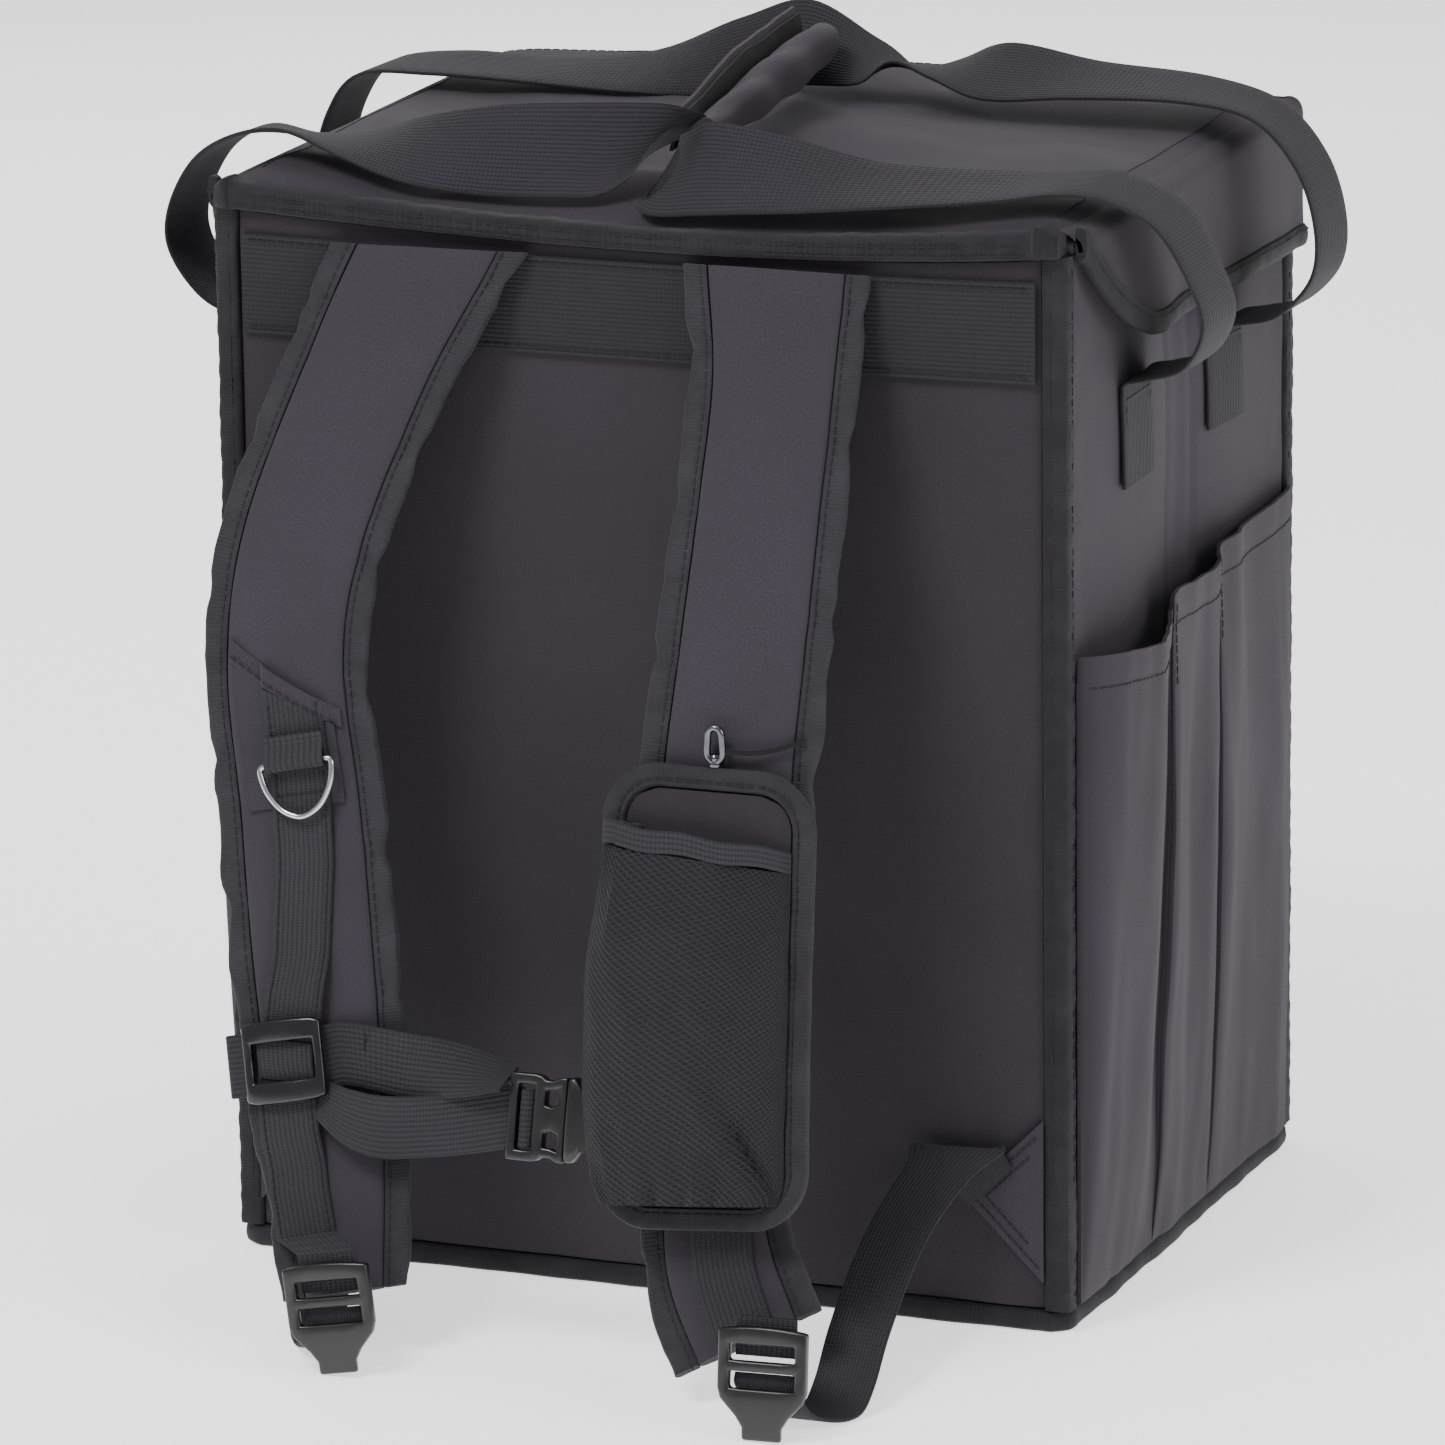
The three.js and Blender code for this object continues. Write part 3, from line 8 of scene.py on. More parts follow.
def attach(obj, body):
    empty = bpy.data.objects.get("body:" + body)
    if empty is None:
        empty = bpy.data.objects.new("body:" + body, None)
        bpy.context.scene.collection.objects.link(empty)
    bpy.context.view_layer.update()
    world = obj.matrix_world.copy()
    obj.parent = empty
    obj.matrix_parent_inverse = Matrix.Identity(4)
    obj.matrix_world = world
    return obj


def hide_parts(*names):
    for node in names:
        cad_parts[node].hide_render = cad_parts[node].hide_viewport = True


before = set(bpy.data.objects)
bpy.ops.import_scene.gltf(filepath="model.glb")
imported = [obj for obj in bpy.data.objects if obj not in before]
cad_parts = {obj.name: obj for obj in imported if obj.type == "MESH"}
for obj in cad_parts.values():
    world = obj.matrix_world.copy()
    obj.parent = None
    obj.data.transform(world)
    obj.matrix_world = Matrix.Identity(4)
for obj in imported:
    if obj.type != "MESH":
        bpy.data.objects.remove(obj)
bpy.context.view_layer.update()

# Sizes in millimetres, as the solids have them. Meshes are turned into metres when they are finished.
MM = 0.001
BODY_WIDTH, BODY_DEPTH, BODY_HEIGHT = 356, 280, 432
WALL, GAP, CORNER, BASE_WELT = 8, 0.35, 9, 9
WALL_TOP_DROP = 2
LID_THICK, LID_RISE, LID_CROWN = 9, 8, 4
SKIRT_DROP, SKIRT_THICK, SKIRT_CLEAR, SKIRT_TAPE, SKIRT_FLARE = 47, 3, 2.2, 9, 6
HINGE_TAPE = 12
WEB, WIDE_WEB, WEB_THICK = 25, 40, 1.6
BAND_DROP = 11.5
PAD_WIDTH, PAD_THICK, PAD_TAPE, PAD_TAPE_THICK = 72, 8, 10, 4.6
STRAP_FLARE = 110
POUCH_WIDTH, POUCH_TAPE, POUCH_TAPE_THICK, POUCH_BULGE, POUCH_CORNER = 88, 9.5, 5.5, 17, 24
POCKET_THICK, POCKET_BULGE, POCKET_MOUTH = 1.6, 15, 276
HANDLE_LIFT, HANDLE_SWING = 24, 46
D_RING_WIDTH, D_RING_WIRE = 30, 2.5
SLIDER_SIZE, BUCKLE_WIDTH, BUCKLE_THICK = 34, 34, 9
MALE_LENGTH, FEMALE_LENGTH = 24, 34
LOCK_WIDTH, LOCK_LENGTH, LOCK_THICK = 36, 41, 4
CORD_DIAMETER, ANCHOR_LEG, ANCHOR_THICK = 2, 47, 2.2
FOLD_DEPTH, LID_PULL, PANEL_DISH, FRONT_SWELL = 7, 2.5, 2.2, 3
COVER_THICK, COVER_INSET, WEB_LIFT, TAB_THICK = 0.8, 5.2, 3.8, 1.2
PANEL_SAG, SKIRT_TURN, SLIDER_THICK, NET_MOUTH = 7.5, 4, 3.4, 30
HOOK_WIRE, HOOK_LENGTH = 2.2, 15
PATCH_TALL, WRAP_HEIGHT, END_CUT = 42, 26, 70

half_width, half_depth = BODY_WIDTH / 2, BODY_DEPTH / 2
wall_top, wall_foot = BODY_HEIGHT - WALL_TOP_DROP, BASE_WELT + GAP
inner_x, inner_y = half_width - CORNER - GAP, half_depth - CORNER - GAP
pad_mid = GAP * 2 + WEB_THICK + PAD_THICK / 2 + 0.5
band_top = BODY_HEIGHT - BAND_DROP
SIDES = (("left", -1), ("right", 1))


def V(x=0.0, y=0.0, z=0.0):
    return Vector((x, y, z))


def lerp(a, b, t):
    return a + (b - a) * t


def spread(a, b, n):
    """Even steps from a to b, both ends among them."""
    return [lerp(a, b, i / n) for i in range(n + 1)]


def clamp(x, lo=0.0, hi=1.0):
    return max(lo, min(hi, x))


def ease(x, lo, hi):
    t = clamp((x - lo) / (hi - lo))
    return t * t * (3 - 2 * t)


def hump(t):
    return sin(pi * clamp(t))


def ripple(x, y=0.0, z=0.0, seed=0.0):
    return noise.noise(V(x + seed * 7.3, y - seed * 3.1, z + seed * 1.7))


def share(table, at, column=1):
    """Reads a table of rows by its first column, in straight steps."""
    i = 0
    while i < len(table) - 2 and table[i + 1][0] < at:
        i += 1
    a, b = table[i], table[i + 1]
    return lerp(a[column], b[column], clamp((at - a[0]) / (b[0] - a[0])))


def smooth(rows, steps):
    """A Catmull-Rom curve through every column of a table."""
    def at(i):
        if i < 0:
            return [2 * v - w for v, w in zip(rows[0], rows[1])]
        if i >= len(rows):
            return [2 * v - w for v, w in zip(rows[-1], rows[-2])]
        return rows[i]
    out = []
    for i in range(len(rows) - 1):
        p, q, r, s = at(i - 1), at(i), at(i + 1), at(i + 2)
        for k in range(steps):
            t = k / steps
            out.append([0.5 * (2 * b + (c - a) * t + (2 * a - 5 * b + 4 * c - d) * t * t
                               + (3 * b - a - 3 * c + d) * t ** 3) for a, b, c, d in zip(p, q, r, s)])
    out.append(list(rows[-1]))
    return out


# The camera stands where the photograph was taken from: angles in degrees, places in mm, lens in pixels.
VIEW_AROUND, VIEW_ABOVE, VIEW_LEAN = 21.88, 13.96, -0.73
VIEW_HEIGHT, VIEW_ASIDE, VIEW_RAISED, VIEW_AWAY = 216, -19.18, -14.90, 3446.07
FOCAL_PIXELS, PHOTO_SIDE, SENSOR_WIDTH = 8414.29, 1445, 36


def stand_camera():
    around, above, lean = radians(VIEW_AROUND), radians(VIEW_ABOVE), radians(VIEW_LEAN)
    back = V(sin(around) * cos(above), -cos(around) * cos(above), sin(above))
    right = V(cos(around), sin(around))
    up = back.cross(right)
    across = right * cos(lean) + up * sin(lean)
    upright = up * cos(lean) - right * sin(lean)
    spot = V(0, 0, VIEW_HEIGHT) + across * VIEW_ASIDE + upright * VIEW_RAISED + back * VIEW_AWAY
    data = bpy.data.cameras.new("view")
    data.sensor_width = SENSOR_WIDTH
    data.lens = SENSOR_WIDTH * FOCAL_PIXELS / PHOTO_SIDE
    data.clip_end = 50
    camera = bpy.data.objects.new("view", data)
    place = Matrix((across, upright, back)).transposed().to_4x4()
    place.translation = spot * MM
    camera.matrix_world = place
    bpy.context.scene.collection.objects.link(camera)
    bpy.context.scene.camera = camera


stand_camera()


class Track:
    """A path that strap pieces lie along: rows of x, y, z, width. Its top end is cut level."""

    def __init__(self, rows, side=None):
        self.rows = smooth(rows, 12)
        self.points = [V(*r[:3]) for r in self.rows]
        self.lengths = [0.0]
        for a, b in zip(self.points, self.points[1:]):
            self.lengths.append(self.lengths[-1] + (b - a).length)
        self.length = self.lengths[-1]
        self.side = side or V(1)
        first = self.tangent(0)
        self.skew = first.x / first.z

    def find(self, s):
        i = 0
        while i < len(self.lengths) - 2 and self.lengths[i + 1] < s:
            i += 1
        return i, (s - self.lengths[i]) / (self.lengths[i + 1] - self.lengths[i])

    def width(self, s):
        i, t = self.find(s)
        return lerp(self.rows[i][3], self.rows[i + 1][3], t)

    def tangent(self, i):
        a, b = self.points[max(0, i - 1)], self.points[min(len(self.points) - 1, i + 1)]
        return (b - a).normalized()

    def place(self, length, u, h):
        s = length - u * self.skew * (1 - ease(length, 0, END_CUT))
        i, t = self.find(s)
        p = self.points[i].lerp(self.points[i + 1], t) if 0 <= t <= 1 else (
            self.points[i] + (self.points[i + 1] - self.points[i]) * t)
        along = self.tangent(i).lerp(self.tangent(i + 1), clamp(t)).normalized()
        across = (self.side - along * self.side.dot(along)).normalized()
        return p + across * u + along.cross(across) * h

    def out(self, s):
        """The way out of the strap's face."""
        return self.place(s, 0, 1) - self.place(s, 0, 0)

    def at_height(self, z):
        for i in range(1, len(self.points)):
            if self.points[i].z <= z:
                a, b = self.points[i - 1], self.points[i]
                return lerp(self.lengths[i - 1], self.lengths[i], (a.z - z) / (a.z - b.z))
        return self.length


def strap_point(x, flare, z):
    return V(x * half_width, -half_depth - flare * STRAP_FLARE, z * BODY_HEIGHT)


# Columns: share of half width, share of the flare, share of the height, share of the pad's width.
PAD_LEFT = [
    [-0.472, -0.016, 0.972, 1.05], [-0.584, 0.104, 0.868, 1], [-0.697, 0.304, 0.718, 0.99],
    [-0.719, 0.413, 0.602, 0.98], [-0.663, 0.513, 0.475, 1], [-0.618, 0.604, 0.359, 1.01],
    [-0.567, 0.704, 0.243, 0.97], [-0.5, 0.849, 0.134, 0.84], [-0.449, 0.995, 0.056, 0.74],
]
PAD_RIGHT = [
    [0.351, -0.017, 0.972, 1.08], [0.376, 0.122, 0.88, 0.98], [0.388, 0.313, 0.778, 0.98],
    [0.376, 0.449, 0.648, 1], [0.354, 0.54, 0.509, 1.02], [0.36, 0.613, 0.37, 1],
    [0.376, 0.722, 0.255, 0.9], [0.388, 0.831, 0.174, 0.85], [0.427, 0.94, 0.116, 0.88],
    [0.522, 1.067, 0.058, 0.87],
]


def track_of(rows):
    return Track([[x * half_width, -half_depth - pad_mid - out * STRAP_FLARE, z * BODY_HEIGHT, w * PAD_WIDTH]
                  for x, out, z, w in rows])


left, right = track_of(PAD_LEFT), track_of(PAD_RIGHT)
pouch_track = Track([
    [0.33 * half_width, -half_depth - 0.642 * STRAP_FLARE, 0.551 * BODY_HEIGHT, POUCH_WIDTH],
    [0.353 * half_width, -half_depth - 0.793 * STRAP_FLARE, 0.417 * BODY_HEIGHT, POUCH_WIDTH],
    [0.376 * half_width, -half_depth - 0.95 * STRAP_FLARE, 0.287 * BODY_HEIGHT, POUCH_WIDTH],
    [0.402 * half_width, -half_depth - 1.082 * STRAP_FLARE, 0.153 * BODY_HEIGHT, POUCH_WIDTH],
], V(1, 0, -0.03))
on_pad = PAD_THICK / 2 + GAP
over_cover = on_pad + COVER_THICK + GAP


# Shader maths as Python expressions
class Socket:
    def __init__(self, look, out):
        self.look, self.out = look, out

    def math(self, operation, *others):
        return Socket(self.look, self.look.node("ShaderNodeMath", {"operation": operation},
                                                [self, *others]).outputs[0])

    def __add__(self, other):
        return self.math("ADD", other)

    __radd__ = __add__

    def __sub__(self, other):
        return self.math("SUBTRACT", other)

    def __rsub__(self, other):
        return (self * -1) + other

    def __mul__(self, other):
        return self.math("MULTIPLY", other)

    __rmul__ = __mul__

    def __truediv__(self, other):
        return self.math("DIVIDE", other)

    def sine(self):
        return self.math("SINE")

    def fraction(self):
        return self.math("FRACT")

    def size(self):
        return self.math("ABSOLUTE")

    def power(self, other):
        return self.math("POWER", other)

    def higher(self, other):
        return self.math("MAXIMUM", other)


class Look:
    """A material and the nodes that make it."""

    def __init__(self, name, **constants):
        self.material = bpy.data.materials.new(name)
        self.material.use_nodes = True
        self.tree = self.material.node_tree
        self.shader = self.tree.nodes["Principled BSDF"]
        for socket, value in constants.items():
            self.shader.inputs[socket.replace("_", " ")].default_value = value

    def node(self, kind, settings=None, inputs=()):
        made = self.tree.nodes.new(kind)
        for key, value in (settings or {}).items():
            setattr(made, key, value)
        pairs = inputs.items() if isinstance(inputs, dict) else enumerate(inputs)
        for key, value in pairs:
            self.feed(made.inputs[key], value)
        return made

    def feed(self, socket, value):
        if isinstance(value, Socket):
            value = value.out
        if isinstance(value, bpy.types.NodeSocket):
            self.tree.links.new(value, socket)
        else:
            socket.default_value = value

    def value(self, out):
        return Socket(self, out)

    def set(self, name, value):
        self.feed(self.shader.inputs[name], value)

    def cloth_place(self):
        """The piece's own cloth coordinates in metres: across and along the weave."""
        where = self.node("ShaderNodeTexCoord").outputs["UV"]
        parts = self.node("ShaderNodeSeparateXYZ", None, [where])
        return self.value(parts.outputs[0]), self.value(parts.outputs[1]), where

    def blotch(self, where, scale, detail=2.0, rough=0.5):
        made = self.node("ShaderNodeTexNoise", None,
                         {"Vector": where, "Scale": scale, "Detail": detail, "Roughness": rough})
        return self.value(made.outputs[0])

    def tint(self, factor, dark, light):
        made = self.node("ShaderNodeMix", {"data_type": "RGBA"}, {"Factor": factor})
        made.inputs[6].default_value = (*dark, 1)
        made.inputs[7].default_value = (*light, 1)
        return made.outputs[2]

    def relief(self, height, distance, strength=1.0):
        made = self.node("ShaderNodeBump", None,
                         {"Height": height, "Distance": distance, "Strength": strength})
        self.set("Normal", made.outputs[0])


def grey(r, g, b):
    """A screen colour of 0 to 255 as the shader's own."""
    def linear(c):
        return c / 12.92 if c <= 0.04045 else ((c + 0.055) / 1.055) ** 2.4
    return tuple(linear(c / 255) for c in (r, g, b))


def twill(name, dark, light, pitch=0.0011):
    look = Look(name, Roughness=0.9, Specular_IOR_Level=0.22, Sheen_Weight=0.06, Sheen_Roughness=0.5)
    u, v, where = look.cloth_place()
    fine = look.blotch(where, 1500, 2)
    speckle = look.blotch(where, 1100, 3, 0.7)
    broad = look.blotch(where, 9, 3)
    line = ((u + v * 0.72) * (2 * pi / pitch)).sine() * 0.5 + 0.5
    over = ((u * 0.72 - v) * (2 * pi / (pitch * 0.62))).sine() * 0.5 + 0.5
    weave = line * 0.62 + over * 0.38
    flecks = (speckle - 0.5) * 1.1
    look.set("Base Color", look.tint(weave * 0.3 + flecks + fine * 0.25 + broad * 0.5 - 0.04, dark, light))
    look.set("Roughness", 0.97 - fine * 0.18)
    look.relief(weave * 0.7 + fine * 0.4 + speckle * 0.25 + broad * 1.2, 0.00025, 0.5)
    return look.material


def ribbed(name, dark, light, strand=0.0019, pitch=0.0011):
    """Woven webbing: strands that run along it, crossed by finer ribs."""
    look = Look(name, Roughness=0.75, Specular_IOR_Level=0.3, Sheen_Weight=0.05, Sheen_Roughness=0.4)
    u, v, where = look.cloth_place()
    wander = look.blotch(where, 40, 2) * 0.0004
    strands = ((u + wander) * (pi / strand)).sine().size()
    ribs = ((v + wander) * (2 * pi / pitch)).sine() * 0.5 + 0.5
    fine = look.blotch(where, 1000, 2)
    broad = look.blotch(where, 22, 2)
    shade = strands.power(0.6) * 0.5 + ribs * 0.16 + fine * 0.4 + broad * 0.3 - 0.3
    look.set("Base Color", look.tint(shade, dark, light))
    look.set("Roughness", 0.9 - ribs * 0.12)
    look.relief(strands.power(0.5) * 1.1 + ribs * 0.35 + fine * 0.4, 0.00045, 0.8)
    return look.material


def tape(name, dark, light, pitch=0.0013):
    look = Look(name, Roughness=0.8, Specular_IOR_Level=0.28, Sheen_Weight=0.05, Sheen_Roughness=0.4)
    u, v, where = look.cloth_place()
    ribs = (v * (2 * pi / pitch)).sine() * 0.5 + 0.5
    threads = (u * (2 * pi / 0.0008)).sine() * 0.5 + 0.5
    fine = look.blotch(where, 700, 2)
    broad = look.blotch(where, 70, 3)
    look.set("Base Color", look.tint(ribs * 0.2 + fine * 0.45 + broad * 0.7 - 0.2, dark, light))
    look.set("Roughness", 0.9 - broad * 0.25)
    look.relief(ribs * 0.35 + threads * 0.2 + fine * 0.4 + broad * 2.2, 0.0004, 0.7)
    return look.material


def netting(name, dark, light):
    """Diagonal mesh: two sets of slanting strands, with near-black painted shade between them where the holes
    show the pouch's shaded inside.
    """
    look = Look(name, Roughness=0.7, Specular_IOR_Level=0.3, Sheen_Weight=0.04)
    u, v, where = look.cloth_place()
    wander = look.blotch(where, 30, 2) * 0.0014
    one = (u + v * 0.75 + wander) / 0.0028
    two = (u * 0.8 - v + wander) / 0.0026
    ridge = 1 - (one.fraction() - 0.5).size() * 2
    cross = 1 - (two.fraction() - 0.5).size() * 2
    strand = ridge.higher(cross * 0.92)
    fine = look.blotch(where, 800, 2)
    # Between the strands the dark colour is painted shade, not the netting's own colour.
    look.set("Base Color", look.tint(strand.power(3) * (0.5 + fine * 0.8), dark, light))
    look.relief(strand + fine * 0.2, 0.0009, 0.9)
    return look.material


def moulded(name, dark, light, roughness):
    look = Look(name, Roughness=roughness, IOR=1.5, Coat_Weight=0.1, Coat_Roughness=0.2)
    where = look.node("ShaderNodeTexCoord").outputs["Object"]
    fine = look.blotch(where, 2600, 2)
    broad = look.blotch(where, 90, 3)
    look.set("Base Color", look.tint(fine * 0.3 + broad * 0.5, dark, light))
    look.set("Roughness", roughness - 0.08 + broad * 0.16)
    look.relief(fine + broad * 2, 0.00006, 0.5)
    return look.material


def steel(name, dark, light):
    look = Look(name, Metallic=1.0, Roughness=0.2)
    where = look.node("ShaderNodeTexCoord").outputs["Object"]
    broad = look.blotch(where, 160, 3)
    look.set("Base Color", look.tint(broad, dark, light))
    look.set("Roughness", 0.14 + broad * 0.16)
    look.relief(broad, 0.00005, 0.4)
    return look.material


CLOTH = twill("charcoal_twill", grey(33, 30, 35), grey(66, 59, 69))
# The same twill made darker: painted shade for the strap panel, which the lamps light only weakly, and for
# the base and the pouch's backing.
SHADED_TWILL = twill("twill_with_painted_shade", grey(29, 26, 30), grey(58, 52, 60))
BAND = ribbed("wide_webbing", grey(18, 18, 21), grey(43, 42, 48))
STRAP = ribbed("strap_webbing", grey(22, 22, 25), grey(52, 52, 58), 0.0022)
HANDLE = ribbed("handle_webbing", grey(18, 17, 21), grey(48, 45, 53))
TAPE = tape("edge_tape", grey(14, 13, 16), grey(38, 36, 42))
PAD_EDGE = tape("pad_edge_tape", grey(23, 22, 26), grey(52, 50, 57))
POUCH_EDGE = tape("pouch_edge_tape", grey(23, 22, 26), grey(47, 46, 52))
# The netting's near-black is painted shade in its holes.
NET = netting("pouch_netting", grey(4, 4, 6), grey(44, 41, 52))
GRIP = tape("hook_and_loop_strip", grey(10, 10, 11), grey(26, 25, 28), 0.0008)
THREAD = tape("sewing_thread", grey(14, 14, 16), grey(38, 37, 41), 0.0006)
BLACK = moulded("satin_black_plastic", grey(8, 8, 10), grey(20, 20, 23), 0.32)
GLOSSY = moulded("glossy_dark_plastic", grey(9, 9, 12), grey(24, 25, 30), 0.22)
METAL = steel("polished_steel", grey(150, 152, 158), grey(205, 207, 212))
GUNMETAL = steel("dark_steel", grey(70, 71, 76), grey(120, 121, 128))
CORD_BLACK = tape("cord_black", grey(10, 10, 11), grey(26, 26, 29), 0.0008)


# Mesh making
def net_of(nx, ny, place, size):
    """A grid laid out by place(u, v), u and v from 0 to 1, with its cloth size in mm for the weave."""
    bm = bmesh.new()
    bmesh.ops.create_grid(bm, x_segments=nx, y_segments=ny, size=0.5)
    layer = bm.loops.layers.uv.new("weave")
    for face in bm.faces:
        for loop in face.loops:
            co = loop.vert.co
            loop[layer].uv = ((co.x + 0.5) * size[0] * MM, (co.y + 0.5) * size[1] * MM)
    for vert in bm.verts:
        vert.co = place(round((vert.co.x + 0.5) * nx) / nx, round((vert.co.y + 0.5) * ny) / ny)
    return bm


def finish(name, bm, look, nodes=(), angle=40):
    bmesh.ops.scale(bm, vec=(MM, MM, MM), verts=bm.verts)
    mesh = bpy.data.meshes.new(name)
    bm.to_mesh(mesh)
    bm.free()
    mesh.shade_smooth()
    mesh.set_sharp_from_angle(angle=radians(angle))
    piece = bpy.data.objects.new(name, mesh)
    bpy.context.scene.collection.objects.link(piece)
    mesh.materials.append(look)
    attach(piece, "root")
    if nodes:
        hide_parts(*nodes)
    return piece


def harden(bm, thick, out):
    """Turns a laid-out sheet to face out, and gives it its thickness behind that face."""
    bm.normal_update()
    if sum(face.calc_area() * face.normal.dot(out) for face in bm.faces) < 0:
        bmesh.ops.reverse_faces(bm, faces=bm.faces)
        bm.normal_update()
    bmesh.ops.solidify(bm, geom=bm.faces[:], thickness=thick)
    bmesh.ops.recalc_face_normals(bm, faces=bm.faces)


def back_off(bm, way):
    """Gives a laid-out sheet its thickness by drawing a second face away from it, by a step or a rule."""
    made = bmesh.ops.extrude_face_region(bm, geom=bm.faces[:])
    for part in made["geom"]:
        if isinstance(part, bmesh.types.BMVert):
            part.co += way(part.co) if callable(way) else way
    bmesh.ops.recalc_face_normals(bm, faces=bm.faces)


def cut_size(place, nx, ny):
    """The flat size in metres of a laid-out sheet: the mean lengths of its rows and columns."""
    rows = [[place(i / nx, j / ny) for i in range(nx + 1)] for j in range(ny + 1)]

    def mean(lines):
        return sum((b - a).length for line in lines for a, b in zip(line, line[1:])) / len(lines) * MM
    return mean(rows), mean(list(zip(*rows)))


def turn_weave(bm):
    """Swaps the cloth coordinates, so that the ribs run the other way."""
    layer = bm.loops.layers.uv.active
    for face in bm.faces:
        for loop in face.loops:
            loop[layer].uv = (loop[layer].uv[1], loop[layer].uv[0])


def round_edges(bm, steeper, offset, segments):
    """Rounds each edge where two faces meet at more than an angle in degrees."""
    sharp = [e for e in bm.edges if len(e.link_faces) == 2 and e.calc_face_angle(0) > radians(steeper)]
    bmesh.ops.bevel(bm, geom=sharp, offset=offset, offset_type="OFFSET", affect="EDGES", segments=segments,
                    profile=0.5, material=-1)


def thick_cloth(name, nx, ny, place, size, thick, out, look, nodes, edge):
    """A sheet with thickness behind its laid-out face; edge rounds its rim."""
    bm = net_of(nx, ny, place, size)
    harden(bm, thick, out)
    round_edges(bm, 60, edge, 2)
    return finish(name, bm, look, nodes)


def swept(name, rings, look, size, nodes=(), closed=False, angle=40):
    """Skins a list of rings, each a closed outline of points, and closes its ends."""
    around, rows = len(rings[0]), len(rings)
    ny = rows if closed else rows - 1

    def place(u, v):
        return rings[round(v * ny) % rows][round(u * around) % around]
    bm = net_of(around, ny, place, size)
    bmesh.ops.remove_doubles(bm, verts=bm.verts, dist=0.0005)
    if not closed:
        rim = [e for e in bm.edges if e.is_boundary]
        bmesh.ops.holes_fill(bm, edges=rim, sides=0)
    bmesh.ops.recalc_face_normals(bm, faces=bm.faces)
    return finish(name, bm, look, nodes, angle)


def flat_section(width, thick, rounding=0.45, across=6):
    """Outline of webbing: a flat strip with rounded edges, as pairs across and out."""
    w, t = width / 2, thick / 2
    r = min(t, rounding * 1.6)
    line = spread(-w + r, w - r, across)
    top = [(u, t) for u in line]
    low = [(u, -t) for u in reversed(line)]
    return top + [(w - r * 0.3, t * 0.7), (w, 0), (w - r * 0.3, -t * 0.7)] + low + [
        (-w + r * 0.3, -t * 0.7), (-w, 0), (-w + r * 0.3, t * 0.7)]


def strip(name, rows, steps, thick, look, nodes=(), wave=0.0):
    """A free ribbon. Columns: x, y, z, side x, side y, side z, width, and how far its middle curls out."""
    path = smooth(rows, steps)
    rings = []
    total = 0.0
    for i, r in enumerate(path):
        a, b = path[max(0, i - 1)], path[min(len(path) - 1, i + 1)]
        along = V(b[0] - a[0], b[1] - a[1], b[2] - a[2]).normalized()
        side = V(r[3], r[4], r[5]).normalized()
        out = along.cross(side).normalized()
        here = V(*r[:3])
        if i:
            total += (here - V(*path[i - 1][:3])).length
        bow = (r[7] if len(r) > 7 else 0) + wave * ripple(total * 0.02, 0, 0, len(rows))
        rings.append([here + side * u + out * (h + bow * (1 - (2 * u / r[6]) ** 2))
                      for u, h in flat_section(r[6], thick)])
    return swept(name, rings, look, (max(r[6] for r in rows) * len(rings[0]) / 6, total), nodes)


def wire(name, points, normal, radius, look, sides, steps, nodes):
    """A closed loop of round wire through some points, which lie in a plane with that normal."""
    cut = steps // len(points)
    curve = smooth([list(p) for p in [points[-1]] + points + points[:3]], cut)
    curve = [V(*p) for p in curve[cut:cut + cut * len(points)]]
    n = len(curve)
    rings = []
    total = 0.0
    for i, p in enumerate(curve):
        a, b = curve[(i - 1) % n], curve[(i + 1) % n]
        out = (b - a).normalized().cross(normal).normalized()
        total += (b - a).length / 2
        rings.append([p + out * radius * cos(2 * pi * k / sides) + normal * radius * sin(2 * pi * k / sides)
                      for k in range(sides)])
    return swept(name, rings, look, (radius * 6.3, total), nodes, closed=True)


# Tether cord: the same route as its solid, from the hook to the pad's edge.
hook_spot = pouch_track.place(1, 0.02 * POUCH_WIDTH, 0.2) + V(0, 0, HOOK_LENGTH * 0.5 + 0.95)
cord_start = hook_spot + V(HOOK_LENGTH * 0.31, 0, -HOOK_LENGTH * 0.1)
tie_at = right.at_height(0.581 * BODY_HEIGHT)
cord_end = right.place(tie_at, right.width(tie_at) / 2 - PAD_TAPE * 0.6,
                       PAD_TAPE_THICK / 2 + CORD_DIAMETER / 2 - 0.1)


def tether():
    route = [cord_start.lerp(cord_end, t) + V(0, -hump(t) * 1.5, -hump(t) * 2) for t in (0, 0.33, 0.66, 1)]
    points = [V(*p) for p in smooth([list(p) for p in route], 6)]
    curve = bpy.data.curves.new("tether_line", "CURVE")
    curve.dimensions = "3D"
    curve.bevel_depth = CORD_DIAMETER / 2 * MM
    curve.bevel_resolution = 3
    curve.use_fill_caps = True
    spline = curve.splines.new("POLY")
    spline.points.add(len(points) - 1)
    for spot, p in zip(spline.points, points):
        spot.co = (*(p * MM), 1)
    curve.materials.append(CORD_BLACK)
    piece = bpy.data.objects.new("tether_line", curve)
    bpy.context.scene.collection.objects.link(piece)
    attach(piece, "root")
    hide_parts("tether_cord")
    long = sum((b - a).length for a, b in zip(points, points[1:]))
    tuple(cord_start * MM)


tether()

# Stitches: short bars of thread laid on the cloth, gathered into one piece for each part of the bag.
seams = {}


def stitch(group, points, normal, pitch=4.2, long=3.0, thick=0.5):
    """Lays stitches along a line of points. normal(i) or a vector says which way is out."""
    bm = seams.setdefault(group, bmesh.new())
    gone = 0.0
    due = pitch * 0.5
    for i in range(len(points) - 1):
        a, b = points[i], points[i + 1]
        run = (b - a).length
        if run < 1e-6:
            continue
        along = (b - a) / run
        out = normal if isinstance(normal, Vector) else normal(i)
        out = (out - along * out.dot(along)).normalized()
        across = along.cross(out)
        while due <= gone + run:
            spot = a + along * (due - gone)
            turn = Matrix((along * long, across * thick, out * thick * 0.8)).transposed().to_4x4()
            turn.translation = spot
            bmesh.ops.create_cube(bm, size=1.0, matrix=turn)
            due += pitch
        gone += run


